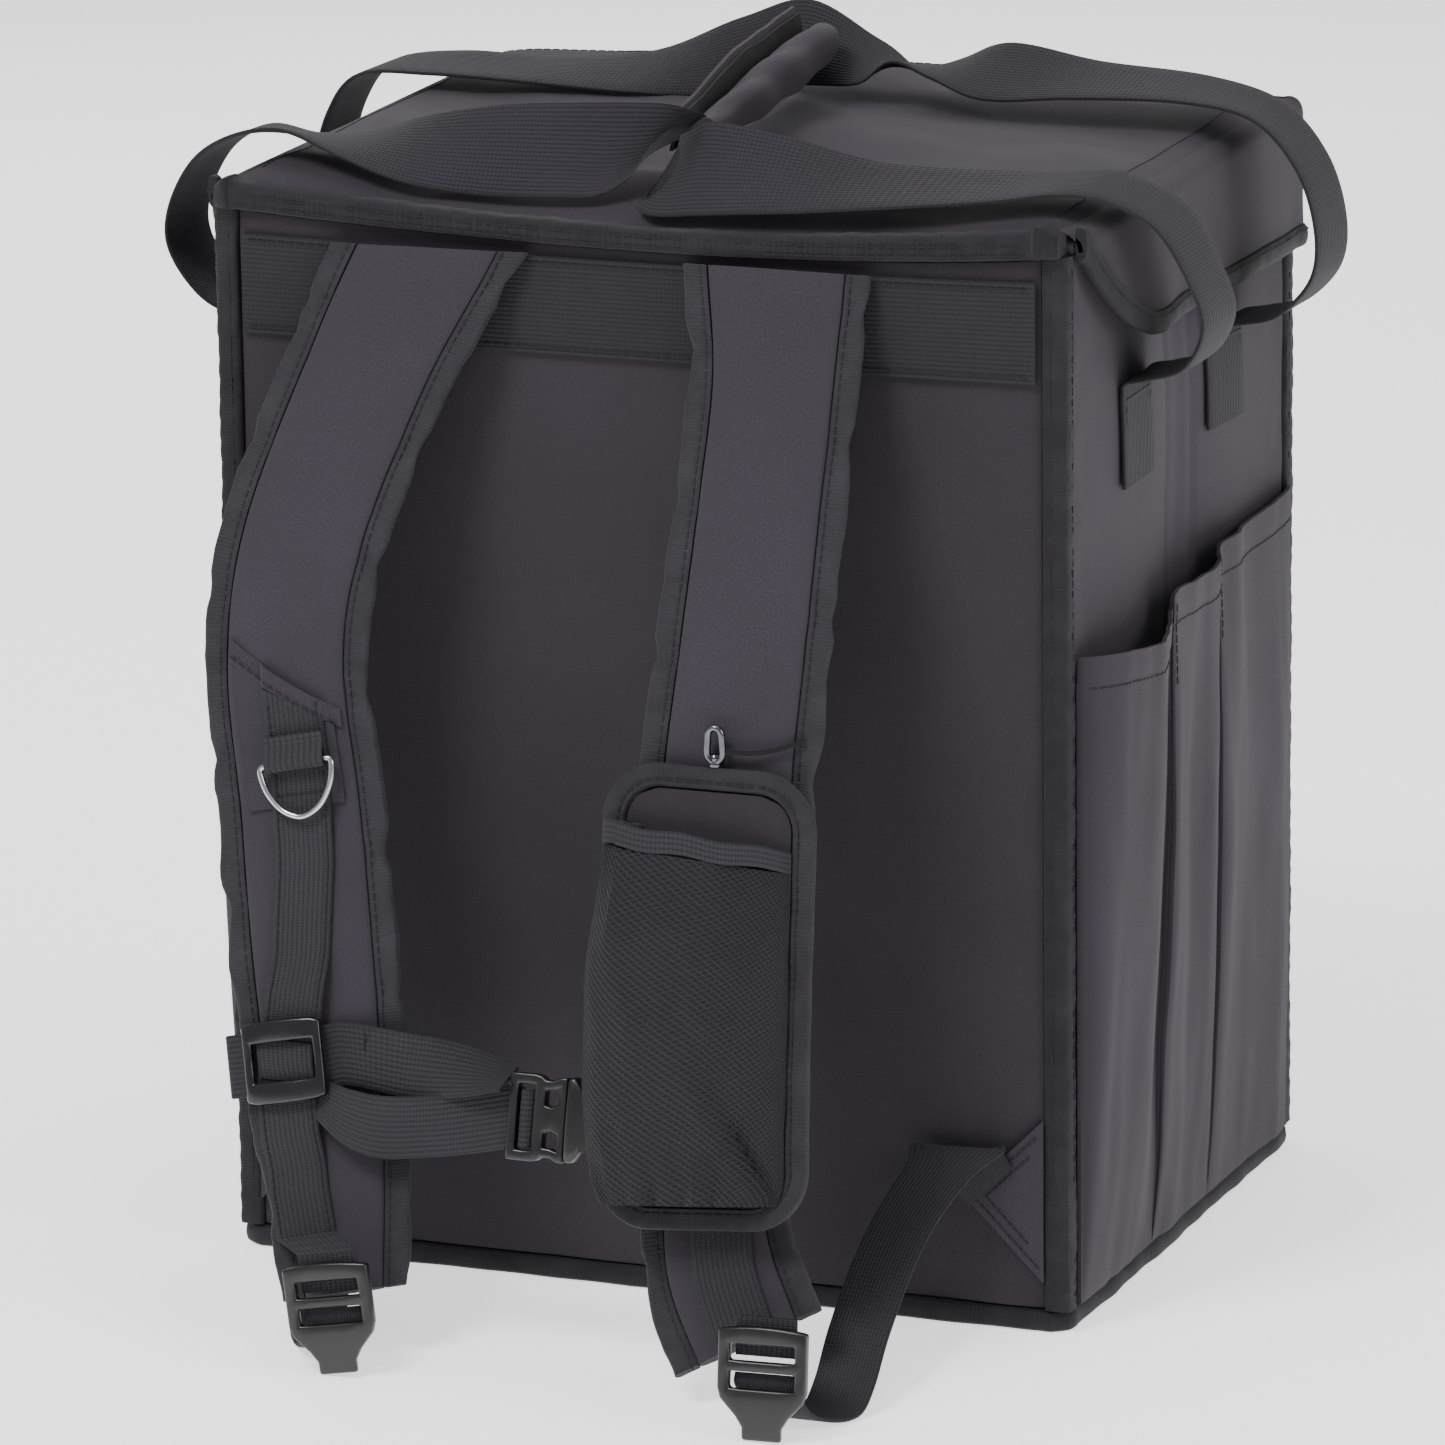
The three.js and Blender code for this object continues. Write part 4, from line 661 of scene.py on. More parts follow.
# Body walls
SIDE_FOLD = [[-1, 0], [-0.75, 0.2], [-0.5, 0.25], [-0.25, -0.1], [-0.045, -0.75],
             [0.06, -1], [0.17, -0.75], [0.4, -0.35], [0.7, -0.15], [1, 0]]
SIDE_FOLD_FINE = smooth(SIDE_FOLD, 6)


def side_out(y, z, folds=SIDE_FOLD_FINE):
    """How far a side wall stands out: by its fold, less the lid's pull near its top."""
    rise = z / BODY_HEIGHT
    fade = ease(rise, 0, 0.12)
    pull = ease(rise, 0.8, 0.9) * LID_PULL
    fold = share(folds, y / inner_y) * FOLD_DEPTH * fade * (1 - 0.3 * rise)
    return fold - pull * hump((y / inner_y + 1) / 2)


def back_out(x, z):
    u = (x / inner_x + 1) / 2
    v = (z - wall_foot) / (wall_top - wall_foot)
    return -PANEL_DISH * hump(u) * ease(v, 0.12, 0.4) * (1 - ease(v, 0.6, 0.85))


def front_out(x, z):
    u = (x / inner_x + 1) / 2
    v = (z - wall_foot) / (wall_top - wall_foot)
    return FRONT_SWELL * hump(u) * hump(v * 1.1) - ease(v, 0.8, 0.9) * LID_PULL * hump(u)


def droop(x):
    """How far the panel's top edge, its tape and the lid's edge hang below a straight line."""
    return PANEL_SAG * hump((x / half_width + 1) / 2) ** 0.8 * (1 + 0.25 * x / half_width)


wall_rows = spread(wall_foot, wall_top, 9)


def on_rows(face, a, z):
    at = clamp((z - wall_foot) / (wall_top - wall_foot), 0, 0.9999) * 9
    i = floor(at)
    return lerp(face(a, wall_rows[i]), face(a, wall_rows[i + 1]), at - i)


def puckers(a, z, edge, seed):
    """Soft dents that run in from a sewn edge, which is edge mm away."""
    near_edge = 1 - ease(edge, 2, 34)
    gathers = 0.7 * near_edge * ripple(a * 0.06, z * 0.05, 0, seed)
    return gathers + 0.5 * ripple(a * 0.012, z * 0.014, 0.3, seed)


def make_walls():
    tall = wall_top - wall_foot

    def back(u, v):
        x, z = lerp(-inner_x, inner_x, u), lerp(wall_foot, wall_top, v)
        edge = min(x + inner_x, inner_x - x, z - wall_foot)
        roll = -2.2 * (1 - ease(min(x + inner_x, inner_x - x), 0, 7))
        sag = puckers(x, z, edge, 1)
        corner = hypot(x - 150, z - 45)
        drag = 0.9 * (1 - ease(corner, 10, 90)) * sin((x + z) * 0.13)
        y = -half_depth - back_out(x, z) - roll * 0.3 - min(0.25, sag * 0.5 + drag * 0.5) + 0.3
        return V(x, y, z - droop(x) * ease(v, 0.86, 1))
    # The strap panel wears the darker twill, whose colour holds painted shade.
    wall = thick_cloth("strap_panel", 96, 112, back, (inner_x * 2, tall), WALL - 1, V(0, -1), SHADED_TWILL,
                       ["back_panel"], 1.0)

    def front(u, v):
        x, z = lerp(inner_x, -inner_x, u), lerp(wall_foot, wall_top, v)
        edge = min(x + inner_x, inner_x - x, z - wall_foot)
        return V(x, half_depth + front_out(x, z) + puckers(x, z, edge, 2) - 0.3, z)
    wall = thick_cloth("front_wall", 72, 84, front, (inner_x * 2, tall), WALL - 1, V(0, 1), CLOTH,
                       ["front_panel"], 1.0)

    for name, s in (("right", 1), ("left", -1)):
        def side(u, v, s=s):
            y, z = lerp(-inner_y, inner_y, u) * s, lerp(wall_foot, wall_top, v)
            edge = min(y + inner_y, inner_y - y, z - wall_foot)
            crease = 1.3 * (1 - ease(abs(y + 6 - 2 * sin(z * 0.02)), 0, 5)) + 1 - ease(abs(y - 24), 0, 5)
            x = half_width + side_out(y, z) - crease * ease(z, 10, 70) + puckers(y, z, edge, 3 + s) - 0.3
            return V(s * x, y, z)
        wall = thick_cloth("side_wall_" + name, 84, 96, side, (inner_y * 2, tall), WALL - 1, V(s), CLOTH,
                           ["side_panel_" + name], 1.0)

    def floor_board(u, v):
        return V(lerp(inner_x, -inner_x, u) * 0.998, lerp(-inner_y, inner_y, v) * 0.998, 0)
    wall = thick_cloth("floor_board", 24, 20, floor_board, (inner_x * 2, inner_y * 2), WALL,
                       V(0, 0, -1), SHADED_TWILL, ["base_panel"], 0.8)


make_walls()


# Upright corner tapes
CORNER_SHAPE = [
    [-1, -1], [-0.45, -1], [0.0, -1], [0.1, -0.93], [0.15, -0.78], [0.15, -0.4], [0.14, -0.1],
    [0.07, 0.05], [-0.1, 0.13], [-0.4, 0.15], [-0.78, 0.15], [-0.93, 0.1], [-1, 0.0], [-1, -0.45],
]


def make_corner_tapes():
    corners = (("back_left", -1, -1), ("back_right", 1, -1), ("front_left", -1, 1), ("front_right", 1, 1))
    heights = spread(14, 426, 40)
    inward, outward = CORNER * 0.6, CORNER * 0.15
    for where, sx, sy in corners:
        rings = []
        for z in spread(wall_foot, wall_top, 150):
            pinch = 0.05 * ripple(z * 0.09, sx, sy, 5) + 0.02 * sin(z * 0.75 + sx)
            ring = []
            for a, b in CORNER_SHAPE:
                grow = [(v + pinch if v > 0 else v) * CORNER for v in (a, b)]
                ring.append(V(sx * (half_width + grow[0]), sy * (half_depth + grow[1]), z))
            rings.append(ring)
        swept("corner_tape_" + where, rings, TAPE, (CORNER * 4.4, wall_top - wall_foot),
              ["edge_binding_" + where])
        row = [V(sx * (half_width - inward), sy * (half_depth + outward), z) for z in heights]
        stitch("corner_stitches", row, V(0, sy))
        row = [V(sx * (half_width + outward), sy * (half_depth - inward), z) for z in heights]
        stitch("corner_stitches", row, V(sx))


make_corner_tapes()


def make_base_welt():
    shape = [
        [0, 0], [0.5, 0], [1.0, 0.02], [1.16, 0.14], [1.22, 0.4], [1.18, 0.72], [1.06, 0.92], [0.9, 1],
        [0.45, 1], [0, 1],
    ]
    cx, cy = half_width - BASE_WELT - 1, half_depth - BASE_WELT - 1
    loop = []
    turns = [(1, -1), (1, 1), (-1, 1), (-1, -1)]
    for k, (sx, sy) in enumerate(turns):
        nx, ny = turns[(k + 1) % 4]
        for j in range(9):
            angle = pi / 2 * (k - 1 + j / 8)
            loop.append((sx * cx, sy * cy, cos(angle), sin(angle), hump(j / 8)))
        angle = pi / 2 * k
        for j in range(1, 48):
            t = j / 48
            loop.append((lerp(sx, nx, t) * cx, lerp(sy, ny, t) * cy, cos(angle), sin(angle), 0))
    rings = []
    for i, (x, y, ox, oy, corner) in enumerate(loop):
        lump = 0.14 * ripple(x * 0.035, y * 0.035, 0, 8) + 0.05 * corner + 0.03 * sin(i * 1.3)
        ring = []
        for out, up in shape:
            reach = 1 + (out + (lump if out > 0.4 else 0)) * BASE_WELT
            dent = 0.5 * lump * BASE_WELT if up > 0.5 else 0
            z = up * BASE_WELT - (0.3 if up == 1 else 0) + (dent * 0.4 if out > 0.4 else 0)
            ring.append(V(x + ox * reach, y + oy * reach, max(0, z)))
        rings.append(ring)
    swept("base_welt", rings, TAPE, (BASE_WELT * 4.4, 1260), ["base_binding"], closed=True)


make_base_welt()

# Lid
hinge_y = -half_depth + HINGE_TAPE * 0.45
lid_edge_x, lid_edge_y = half_width + SKIRT_CLEAR - GAP, half_depth + SKIRT_CLEAR - GAP


def lid_under(x, y):
    back = (y - hinge_y) / (lid_edge_y - hinge_y)
    u = (x / lid_edge_x + 1) / 2
    return BODY_HEIGHT + 0.6 + LID_RISE * back + LID_CROWN * hump(u) * ease(back, 0, 0.5)


def lid_over(x, y, reach):
    """The lid's upper face: rounded at its rim, soft in its middle, and sagging with the panel's top edge."""
    edge = min(x + reach, reach - x)
    drop = 4.6 * (1 - ease(edge, 0, 16)) ** 2 + 3.6 * (1 - ease(lid_edge_y - y, 0, 14)) ** 2
    drop += 3.4 * (1 - ease(y - hinge_y, 0, 14)) ** 2
    sag = 2.6 * ripple(x * 0.013, y * 0.019, 0.1, 11) + 1.2 * ripple(x * 0.035 + y * 0.02, y * 0.03, 0, 12)
    swell = 3.2 * hump(clamp((y - hinge_y) / 60)) * (0.6 + 0.4 * sin(x * 0.032 + 1))
    tension = 0.9 * sin((x + y * 0.7) * 0.11) * (1 - ease(y - hinge_y, 6, 52)) * ease(y - hinge_y, 2, 14)
    drop += droop(x) * (1 - ease(y - hinge_y, 0, 46))
    return lid_under(x, y) + LID_THICK - drop + (sag + swell + tension) * ease(edge, 0, 26)


def make_lid():
    def top(u, v):
        y = lerp(hinge_y + GAP, lid_edge_y - 0.4, v)
        reach = lid_edge_x - 0.4 - 3.6 * ease(v, 0.97, 1)
        x = lerp(-reach, reach, u)
        return V(x, y, lid_over(x, y, reach))
    lid = thick_cloth("lid_cover", 96, 76, top, (lid_edge_x * 2, lid_edge_y * 2), 5.0, V(0, 0, 1), CLOTH,
                      ["lid_top"], 0.8)


make_lid()

HINGE_LINE = [
    [-1, 0.05, 0.75], [-0.97, 0.14, 1.05], [-0.92, 0.04, 0.95], [-0.6, 0, 0.96], [-0.2, 0, 1],
    [0.2, 0.04, 0.97], [0.6, 0, 1], [0.9, 0.03, 0.96], [0.95, 0.18, 1.12], [0.98, 0.12, 0.9],
    [1, 0.05, 0.7],
]


def make_hinge():
    section = [
        [-0.45, 0.04], [0.0, 0.04], [0.24, 0.04], [0.33, 0.12], [0.36, 0.3], [0.37, 0.5], [0.36, 0.75],
        [0.32, 0.9], [0.22, 1], [0, 1.02], [-0.45, 1],
    ]
    line = smooth(HINGE_LINE, 16)
    rings = []
    for at, swell, tall in line:
        x = at * (half_width - 1)
        wrinkle = 0.05 * ripple(x * 0.06, 0, 0, 14) + 0.02 * sin(x * 0.5)
        base = wall_top + 0.35 - droop(x)
        tall *= 1 - 0.24 * hump((at + 1) / 2)
        ring = []
        for out, up in section:
            deep = out + swell + wrinkle if out > 0 else out
            high = tall + wrinkle if up > 0.5 else tall
            ring.append(V(x, -half_depth - deep * HINGE_TAPE, base + up * high * HINGE_TAPE))
        rings.append(ring)
    swept("hinge_tape", rings, TAPE, (HINGE_TAPE * 4, BODY_WIDTH), ["hinge_binding"])
    for up in (0.3, 0.72):
        row = [V(x, -half_depth - 0.4 * HINGE_TAPE, wall_top - droop(x) + up * HINGE_TAPE * 0.8)
               for x in spread(-170, 168, 60)]
        stitch("lid_stitches", row, V(0, -1))


make_hinge()

SKIRT_SIDE = [
    [-0.955, 0.02, 0.88], [-0.93, 0.1, 0.84], [-0.86, 0.55, 0.62], [-0.72, 0.95, 0.32], [-0.5, 1, 0.06],
    [-0.3, 0.7, 0], [-0.12, 0.15, 0], [0, 0.1, 0], [0.35, 0.2, 0], [0.7, 0.15, 0], [0.94, 0, 0],
]


def skirt_path():
    x0, y0, turn = half_width + SKIRT_CLEAR, half_depth + SKIRT_CLEAR, SKIRT_TURN
    rows = [[x0, y * half_depth, 1, 0, flare * SKIRT_FLARE, lift] for y, flare, lift in SKIRT_SIDE]
    for degrees in (0, 15, 30, 45, 60, 75, 90):
        a = radians(degrees)
        rows.append([x0 - turn + cos(a) * turn, y0 - turn + sin(a) * turn, cos(a), sin(a), 0.4, 0])
    rows += [[at * half_width, y0, 0, 1, 2, 0] for at in (0.8, 0.4)]
    far = [[-x, y, -ox, oy, flare, lift] for x, y, ox, oy, flare, lift in reversed(rows)]
    return rows + [[0, y0, 0, 1, 1, 0]] + far


def make_skirt():
    rough = skirt_path()
    path = []
    for i in range(len(rough) - 1):
        a, b = rough[i], rough[i + 1]
        run = hypot(b[0] - a[0], b[1] - a[1])
        n = max(1, round(run / 5))
        ring = smooth(rough[max(0, i - 1):i + 3], n)
        start = n if i else 0
        path += ring[start:start + n]
    path.append(rough[-1])
    total = [0.0]
    for a, b in zip(path, path[1:]):
        total.append(total[-1] + hypot(b[0] - a[0], b[1] - a[1]))
    n = len(path) - 1

    def low(p):
        return BODY_HEIGHT - SKIRT_DROP + clamp(p[5]) * (SKIRT_DROP + SKIRT_TAPE * 0.2)

    def top(p):
        return lid_under(clamp(p[0], -lid_edge_x, lid_edge_x), min(p[1], lid_edge_y)) + LID_THICK - 1.2

    def at(p, z, deep, i):
        down = max(0, (top(p) - z) / max(1, top(p) - low(p)))
        sway = 0.9 * ripple(total[i] * 0.03, z * 0.03, 0, 17) * down
        out = max(0, p[4]) * down ** 0.8 + deep + sway
        return V(p[0] + p[2] * out, p[1] + p[3] * out, z)

    def place(u, v):
        i = round(u * n)
        p = path[i]
        tape_top = min(low(p) + SKIRT_TAPE + GAP, top(p) - 9)
        if v < 0.7:
            return at(p, lerp(tape_top, top(p) - 8, v / 0.7), SKIRT_THICK, i)
        a = (v - 0.7) / 0.3 * pi / 2
        base = at(p, top(p) - 8, SKIRT_THICK, i)
        into = (9 if min(abs(p[2]), abs(p[3])) < 0.02 else 5) * (1 - cos(a))
        return base + V(-p[2] * into, -p[3] * into, 6.4 * sin(a))
    bm = net_of(n, 20, place, (total[-1], SKIRT_DROP + 12))
    turn_x, turn_y = half_width - 6, half_depth - 6

    def behind(co):
        way = V(co.x - clamp(co.x, -turn_x, turn_x), max(0, co.y - turn_y))
        return way.normalized() * -1.9 if way.length > 0.1 else V(0, 0, -1.5)
    back_off(bm, behind)
    flaps = finish("lid_flaps", bm, CLOTH, ["lid_skirt"])

    rings = []
    for i, p in enumerate(path):
        z = low(p)
        before, after = max(0, i - 1), min(n, i + 1)
        slope = (low(path[after]) - low(path[before])) / max(0.1, total[after] - total[before])
        wide = min(1.7, sqrt(1 + slope * slope)) * (1 + 0.25 * clamp(p[5] * 4))
        pinch = 0.06 * sin(total[i] * 0.4) + 0.1 * ripple(total[i] * 0.05, 0, 0, 19)
        shape = [
            [0.15, 0.0], [0.03, 0.2], [0, 0.55], [0.02, 1.0], [0.12, 1.35], [0.35, 1.55], [0.6, 1.6],
            [0.85, 1.5], [0.97, 1.25], [1, 0.8], [1, 0.4], [0.95, 0.05],
        ]
        rings.append([at(p, z + t * wide * SKIRT_TAPE, SKIRT_THICK * (deep + (pinch if deep > 0.9 else 0)), i)
                      for t, deep in shape])
    hem = swept("flap_tape", rings, TAPE, (SKIRT_TAPE * 3, total[-1]), ["lid_skirt_binding"])
    cut_size(place, n, 20)
    row = [at(p, low(p) + SKIRT_TAPE * 0.78, SKIRT_THICK * 1.58, i) for i, p in enumerate(path)]
    stitch("lid_stitches", row, lambda i: V(path[i][2], path[i][3]))
    reach_x, reach_y = lid_edge_x - 12, lid_edge_y - 12
    turns = [(reach_x, hinge_y + 16), (reach_x, reach_y), (-reach_x, reach_y), (-reach_x, hinge_y + 16)]
    for (x0, y0), (x1, y1) in zip(turns, turns[1:]):
        spots = [(lerp(x0, x1, i / 60), lerp(y0, y1, i / 60)) for i in range(61)]
        row = [V(x, y, lid_over(x, y, lid_edge_x - 0.4) + 0.1) for x, y in spots]
        stitch("lid_stitches", row, V(0, 0, 1))


make_skirt()


# Webbing band and corner patches of the strap panel
def make_panel_trim():
    def band(u, v):
        x, z = lerp(-inner_x + 2, inner_x - 2, u), lerp(band_top - WIDE_WEB, band_top, v)
        y = -half_depth - on_rows(back_out, x, z) - GAP - WEB_THICK + 0.25 * ripple(x * 0.03, z * 0.05, 0, 21)
        return V(x, y, z - droop(x) * lerp(0.1, 0.3, v))
    bm = net_of(90, 10, band, (inner_x * 2, WIDE_WEB))
    turn_weave(bm)
    harden(bm, WEB_THICK - 0.3, V(0, -1))
    finish("top_band", bm, BAND, ["webbing_band"])
    for z in (band_top - 2.5, band_top - WIDE_WEB + 2.5):
        sink = 0.3 if z > band_top - 10 else 0.1
        row = []
        for x in spread(-164, 164, 60):
            y = -half_depth - on_rows(back_out, x, z) - GAP - WEB_THICK - 0.3
            row.append(V(x, y, z - droop(x) * sink))
        stitch("band_stitches", row, V(0, -1))

    for where, s in SIDES:
        x0, z0 = s * (inner_x + 1) - s, BASE_WELT + 12
        corners = [V(x0, 0, z0), V(x0, 0, z0 + ANCHOR_LEG * 1.4),
                   V(x0 - s * ANCHOR_LEG * 0.7, 0, z0 + ANCHOR_LEG * 0.7)]
        y0 = -half_depth - GAP - ANCHOR_THICK
        bm = bmesh.new()
        layer = bm.loops.layers.uv.new("weave")
        bm.faces.new([bm.verts.new(p) for p in corners])
        bmesh.ops.subdivide_edges(bm, edges=bm.edges[:], cuts=11, use_grid_fill=True)
        for f in bm.faces:
            for loop in f.loops:
                loop[layer].uv = (loop.vert.co.x * MM, loop.vert.co.z * MM)
        for vert in bm.verts:
            vert.co.y = y0 + 0.2 + 0.5 * max(0, ripple(vert.co.x * 0.06, vert.co.z * 0.06, 0, 23))
        harden(bm, ANCHOR_THICK - 0.4, V(0, -1))
        finish("corner_patch_" + where, bm, CLOTH, ["anchor_patch_" + where])
        for inset in (3, 7):
            mid = (corners[0] + corners[1] + corners[2]) / 3
            ring = [c.lerp(mid, inset / 16) + V(0, y0 - 0.1) for c in corners]
            stitch("patch_stitches", [ring[1], ring[2], ring[0]], V(0, -1), 3.2, 2.4)


make_panel_trim()

# Shoulder pads: foam in cloth, with a sewn tape along each edge.
PUCKER = 0.035


def stations(start, end, step):
    return spread(start, end, max(2, round((end - start) / step)))


# Share across, and the sine that its height follows: once over the top and back below
PAD_STEPS = [0, 0.13, 0.26, 0.4, 0.53, 0.66, 0.78, 0.88, 0.95, 0.985]
PAD_RISE = [(c, sqrt(1 - c ** 4.76)) for c in PAD_STEPS]
PAD_TOP = [(-1, 0.0)] + [(-c, d) for c, d in PAD_RISE[:0:-1]] + PAD_RISE + [(1, 0.0)]
PAD_OUTLINE = PAD_TOP + [(c, -d) for c, d in PAD_TOP[-2:0:-1]]


def make_pad(where, track, seed):
    def edge(s):
        return track.width(s) / 2 - PAD_TAPE
    half = PAD_THICK / 2
    lengths = stations(0.5, track.length - 0.5, 4)
    rings = []
    for s in lengths:
        w = edge(s) - GAP
        puff = half * (0.72 + 0.28 * ease(s, 0, 40)) * (1 - 0.25 * ease(s, track.length - 18, track.length))
        ring = []
        for c, d in PAD_OUTLINE:
            u = w * c
            h = puff * (abs(d) ** 0.55) * (1 if d > 0 else -1)
            near_edge = ease(abs(u) / w, 0.55, 0.95)
            dent = (0.6 * ripple(s * 0.016, u * 0.022, 0, seed)
                    + 0.9 * near_edge * ripple(s * 0.09, u * 0.05, 2, seed))
            h -= max(0, dent) * (1 if d > 0 else -1) * min(1, abs(d) * 1.5)
            ring.append(track.place(s, u, h))
        rings.append(ring)
    piece = swept("pad_" + where, rings, CLOTH, (PAD_WIDTH * 2, track.length),
                  ["shoulder_pad_" + where])
    for name, sign in SIDES:
        rings = []
        line = []
        for i, s in enumerate(lengths):
            a, b = edge(s), track.width(s) / 2
            pull = ripple(s * 0.045, sign, 0, seed) + 0.4 * ripple(s * 0.13, sign, 3, seed)
            tuck = max(0, sin(s * 0.105 + sign + seed + 1.6 * ripple(s * 0.02, 0, 5, seed))) ** 6
            b *= 1 + PUCKER * 1.3 * pull - 0.05 * tuck
            h = PAD_TAPE_THICK / 2 * (1 - 0.34 * tuck + 0.14 * pull)
            mid = lerp(a, b, 0.45)
            outline = [(a, -h * 0.75), (a, 0), (a, h * 0.75), (a + 1.2, h * 0.95),
                       (mid, h * (0.8 - 0.4 * tuck)),
                       (b - 2.2, h), (b - 0.7, h * 0.75), (b, h * 0.2), (b, -h * 0.2), (b - 0.7, -h * 0.75),
                       (b - 2.2, -h), (mid, -h * 0.86), (a + 1.2, -h * 0.95)]
            rings.append([track.place(s, u * sign, k) for u, k in outline])
            line.append(track.place(s, (a + 2.2) * sign, h * 0.98))
        swept(f"pad_tape_{where}_{name}", rings, PAD_EDGE, (PAD_TAPE * 2.6, track.length),
              [f"pad_binding_{where}_{name}"])
        out = [track.out(s) for s in lengths]
        stitch("pad_stitches", line, lambda i, out=out: out[i])


make_pad("left", left, 31)
make_pad("right", right, 37)

SLIDER_HEIGHT = 0.253
slider_at = left.at_height(SLIDER_HEIGHT * BODY_HEIGHT)
cover_end = left.at_height(0.475 * BODY_HEIGHT)
WEB_LINE_LEFT = [[0.42, 0.06], [0.5, 0.06], [0.6, 0.02], [0.7, -0.06], [0.8, -0.19], [0.9, -0.2], [1, -0.15]]
WEB_LINE_RIGHT = [[0.44, 0.04], [0.6, 0.05], [0.75, 0.06], [0.85, 0.08], [0.93, 0.03], [1, 0]]
LOCK_SPOTS = {
    "left": (strap_point(-0.436, 1.25, 0.083), strap_point(-0.444, 1.29, 0.004)),
    "right": (strap_point(0.626, 1.395, 0.081), strap_point(0.637, 1.45, 0.004)),
}
slider_u = share(WEB_LINE_LEFT, slider_at / left.length) * PAD_WIDTH
sternum_right = right.at_height(0.235 * BODY_HEIGHT)


def near(s, at, reach):
    return ease(reach - abs(s - at), 0, reach * 0.4)


def make_cover():
    top_left, top_right = left.at_height(0.606 * BODY_HEIGHT), left.at_height(0.541 * BODY_HEIGHT)

    def place(u, v):
        s = lerp(cover_end, lerp(top_left, top_right, u), v)
        w = left.width(s) / 2 - PAD_TAPE - COVER_INSET
        return left.place(s, (u * 2 - 1) * w, on_pad + COVER_THICK + 0.25 * ripple(s * 0.05, u * 3, 0, 41))
    bm = net_of(20, 24, place, (PAD_WIDTH * 0.7, 50))
    harden(bm, COVER_THICK, V(0, -1))
    cover = finish("pad_cover", bm, CLOTH, ["pad_cover_left"])
    rings = []
    for i in range(31):
        t = i / 30
        s, u = lerp(top_left, top_right, t) - 0.5, (t * 2 - 1) * (left.width(top_left) / 2 - PAD_TAPE - 2)
        over = ease(1 - abs(u - 4.5) / 13.5, 0, 0.12)
        h = on_pad + 0.2 + over * (COVER_THICK + WEB_THICK * 0.9) - 0.5 * (1 - hump(t) ** 0.3)
        rings.append([left.place(s + a, u, h + b) for a, b in (
            (-6, -0.6), (-6, -0.25), (-3.5, 0.15), (0, 0.5), (1.4, 0.5), (2.0, 0.1), (2.0, -0.6))])
    seam = swept("cover_seam", rings, CLOTH, (12, 60), ())
    cut_size(place, 20, 24)
    row = []
    for i in range(21):
        at = i / 10 - 1
        over = ease(1 - abs(at * 24 - 4.5) / 13.5, 0, 0.12)
        row.append(left.place(lerp(top_left, top_right, i / 20) - 0.4,
                              at * (left.width(top_left) / 2 - PAD_TAPE - 3),
                              on_pad + 0.95 + over * (COVER_THICK + WEB_THICK)))
    stitch("pad_stitches", row, V(0, -1, 0.3))


make_cover()

lock_frames = {}


def stand(origin, across_dir, up_dir):
    x = across_dir.normalized()
    z = x.cross(up_dir).normalized()
    y = z.cross(x)
    turn = Matrix((x, y, z)).transposed().to_4x4()
    turn.translation = origin
    return turn


def stand_on(track, s, u, h):
    p = track.place(s, u, h)
    return stand(p, track.place(s, u + 1, h) - p, track.place(s - 4, u, h) - p)


def framed(xs, ys, holes, thick, bevel, shape):
    """A moulded plate: a grid of cells at xs and ys, some cut out, given thickness and rounded edges."""
    nx, ny = len(xs) - 1, len(ys) - 1
    size = (xs[-1] - xs[0], ys[-1] - ys[0])
    bm = net_of(nx, ny, lambda u, v: V(xs[round(u * nx)], ys[round(v * ny)]), size)
    gone = []
    for face in bm.faces:
        mid = face.calc_center_median()
        if any(x0 < mid.x < x1 and y0 < mid.y < y1 for x0, y0, x1, y1 in holes):
            gone.append(face)
    bmesh.ops.delete(bm, geom=gone, context="FACES")
    for vert in bm.verts:
        vert.co = shape(vert.co)
    back_off(bm, V(0, 0, thick))
    round_edges(bm, 50, bevel, 3)
    return bm


LOCK_TILT = {"left": V(1, 0.05, 0.17), "right": V(1, 0, 0.03)}


def lock_rise(frame_of):
    """How far the lock has to rise so that its tongue clears the floor."""
    half = LOCK_WIDTH / 2 * 0.42
    corners = [V(x, -LOCK_LENGTH, z) for x in (-half, half) for z in (0, LOCK_THICK)]
    return max(0.0, -min((frame_of @ c).z for c in corners))


def make_locks():
    w, long = LOCK_WIDTH / 2, LOCK_LENGTH
    for where in ("left", "right"):
        top, tip = LOCK_SPOTS[where]
        place = stand(top, LOCK_TILT[where], top - tip)
        place = Matrix.Translation((0, 0, lock_rise(place))) @ place
        lock_frames[where] = place
        xs = [w * k for k in (-1, -0.74, -0.4, 0, 0.4, 0.74, 1)]
        ys = [-long * k for k in (1, 0.88, 0.78, 0.62, 0.52, 0.36, 0.26, 0.1)] + [2.0]

        def shape(co):
            taper = 1.0
            if co.y < -long * 0.6:
                taper = lerp(0.94, 0.44, ease(-co.y, long * 0.6, long * 0.88))
            arch = 1.6 * (1 - (co.x / w) ** 2) if co.y > 0 else 0
            return V(co.x * taper, co.y + arch - (0.8 if co.y > 0 else 0))
        bm = framed(xs, ys, [(-w * 0.75, -long * 0.26, w * 0.75, -long * 0.1),
                             (-w * 0.75, -long * 0.52, w * 0.75, -long * 0.36)], LOCK_THICK, 1.1, shape)
        for vert in bm.verts:
            if vert.co.z > LOCK_THICK / 2:
                crown = 1.1 * (1 - (vert.co.x / w) ** 2)
                vert.co.z += crown if vert.co.y > -long * 0.12 else 0
                if vert.co.y < -long * 0.6:
                    vert.co.z -= 1.0 * ease(-vert.co.y, long * 0.66, long)
        bmesh.ops.transform(bm, matrix=place, verts=bm.verts)
        finish("ladder_" + where, bm, BLACK, ["ladder_lock_" + where], 50)


make_locks()


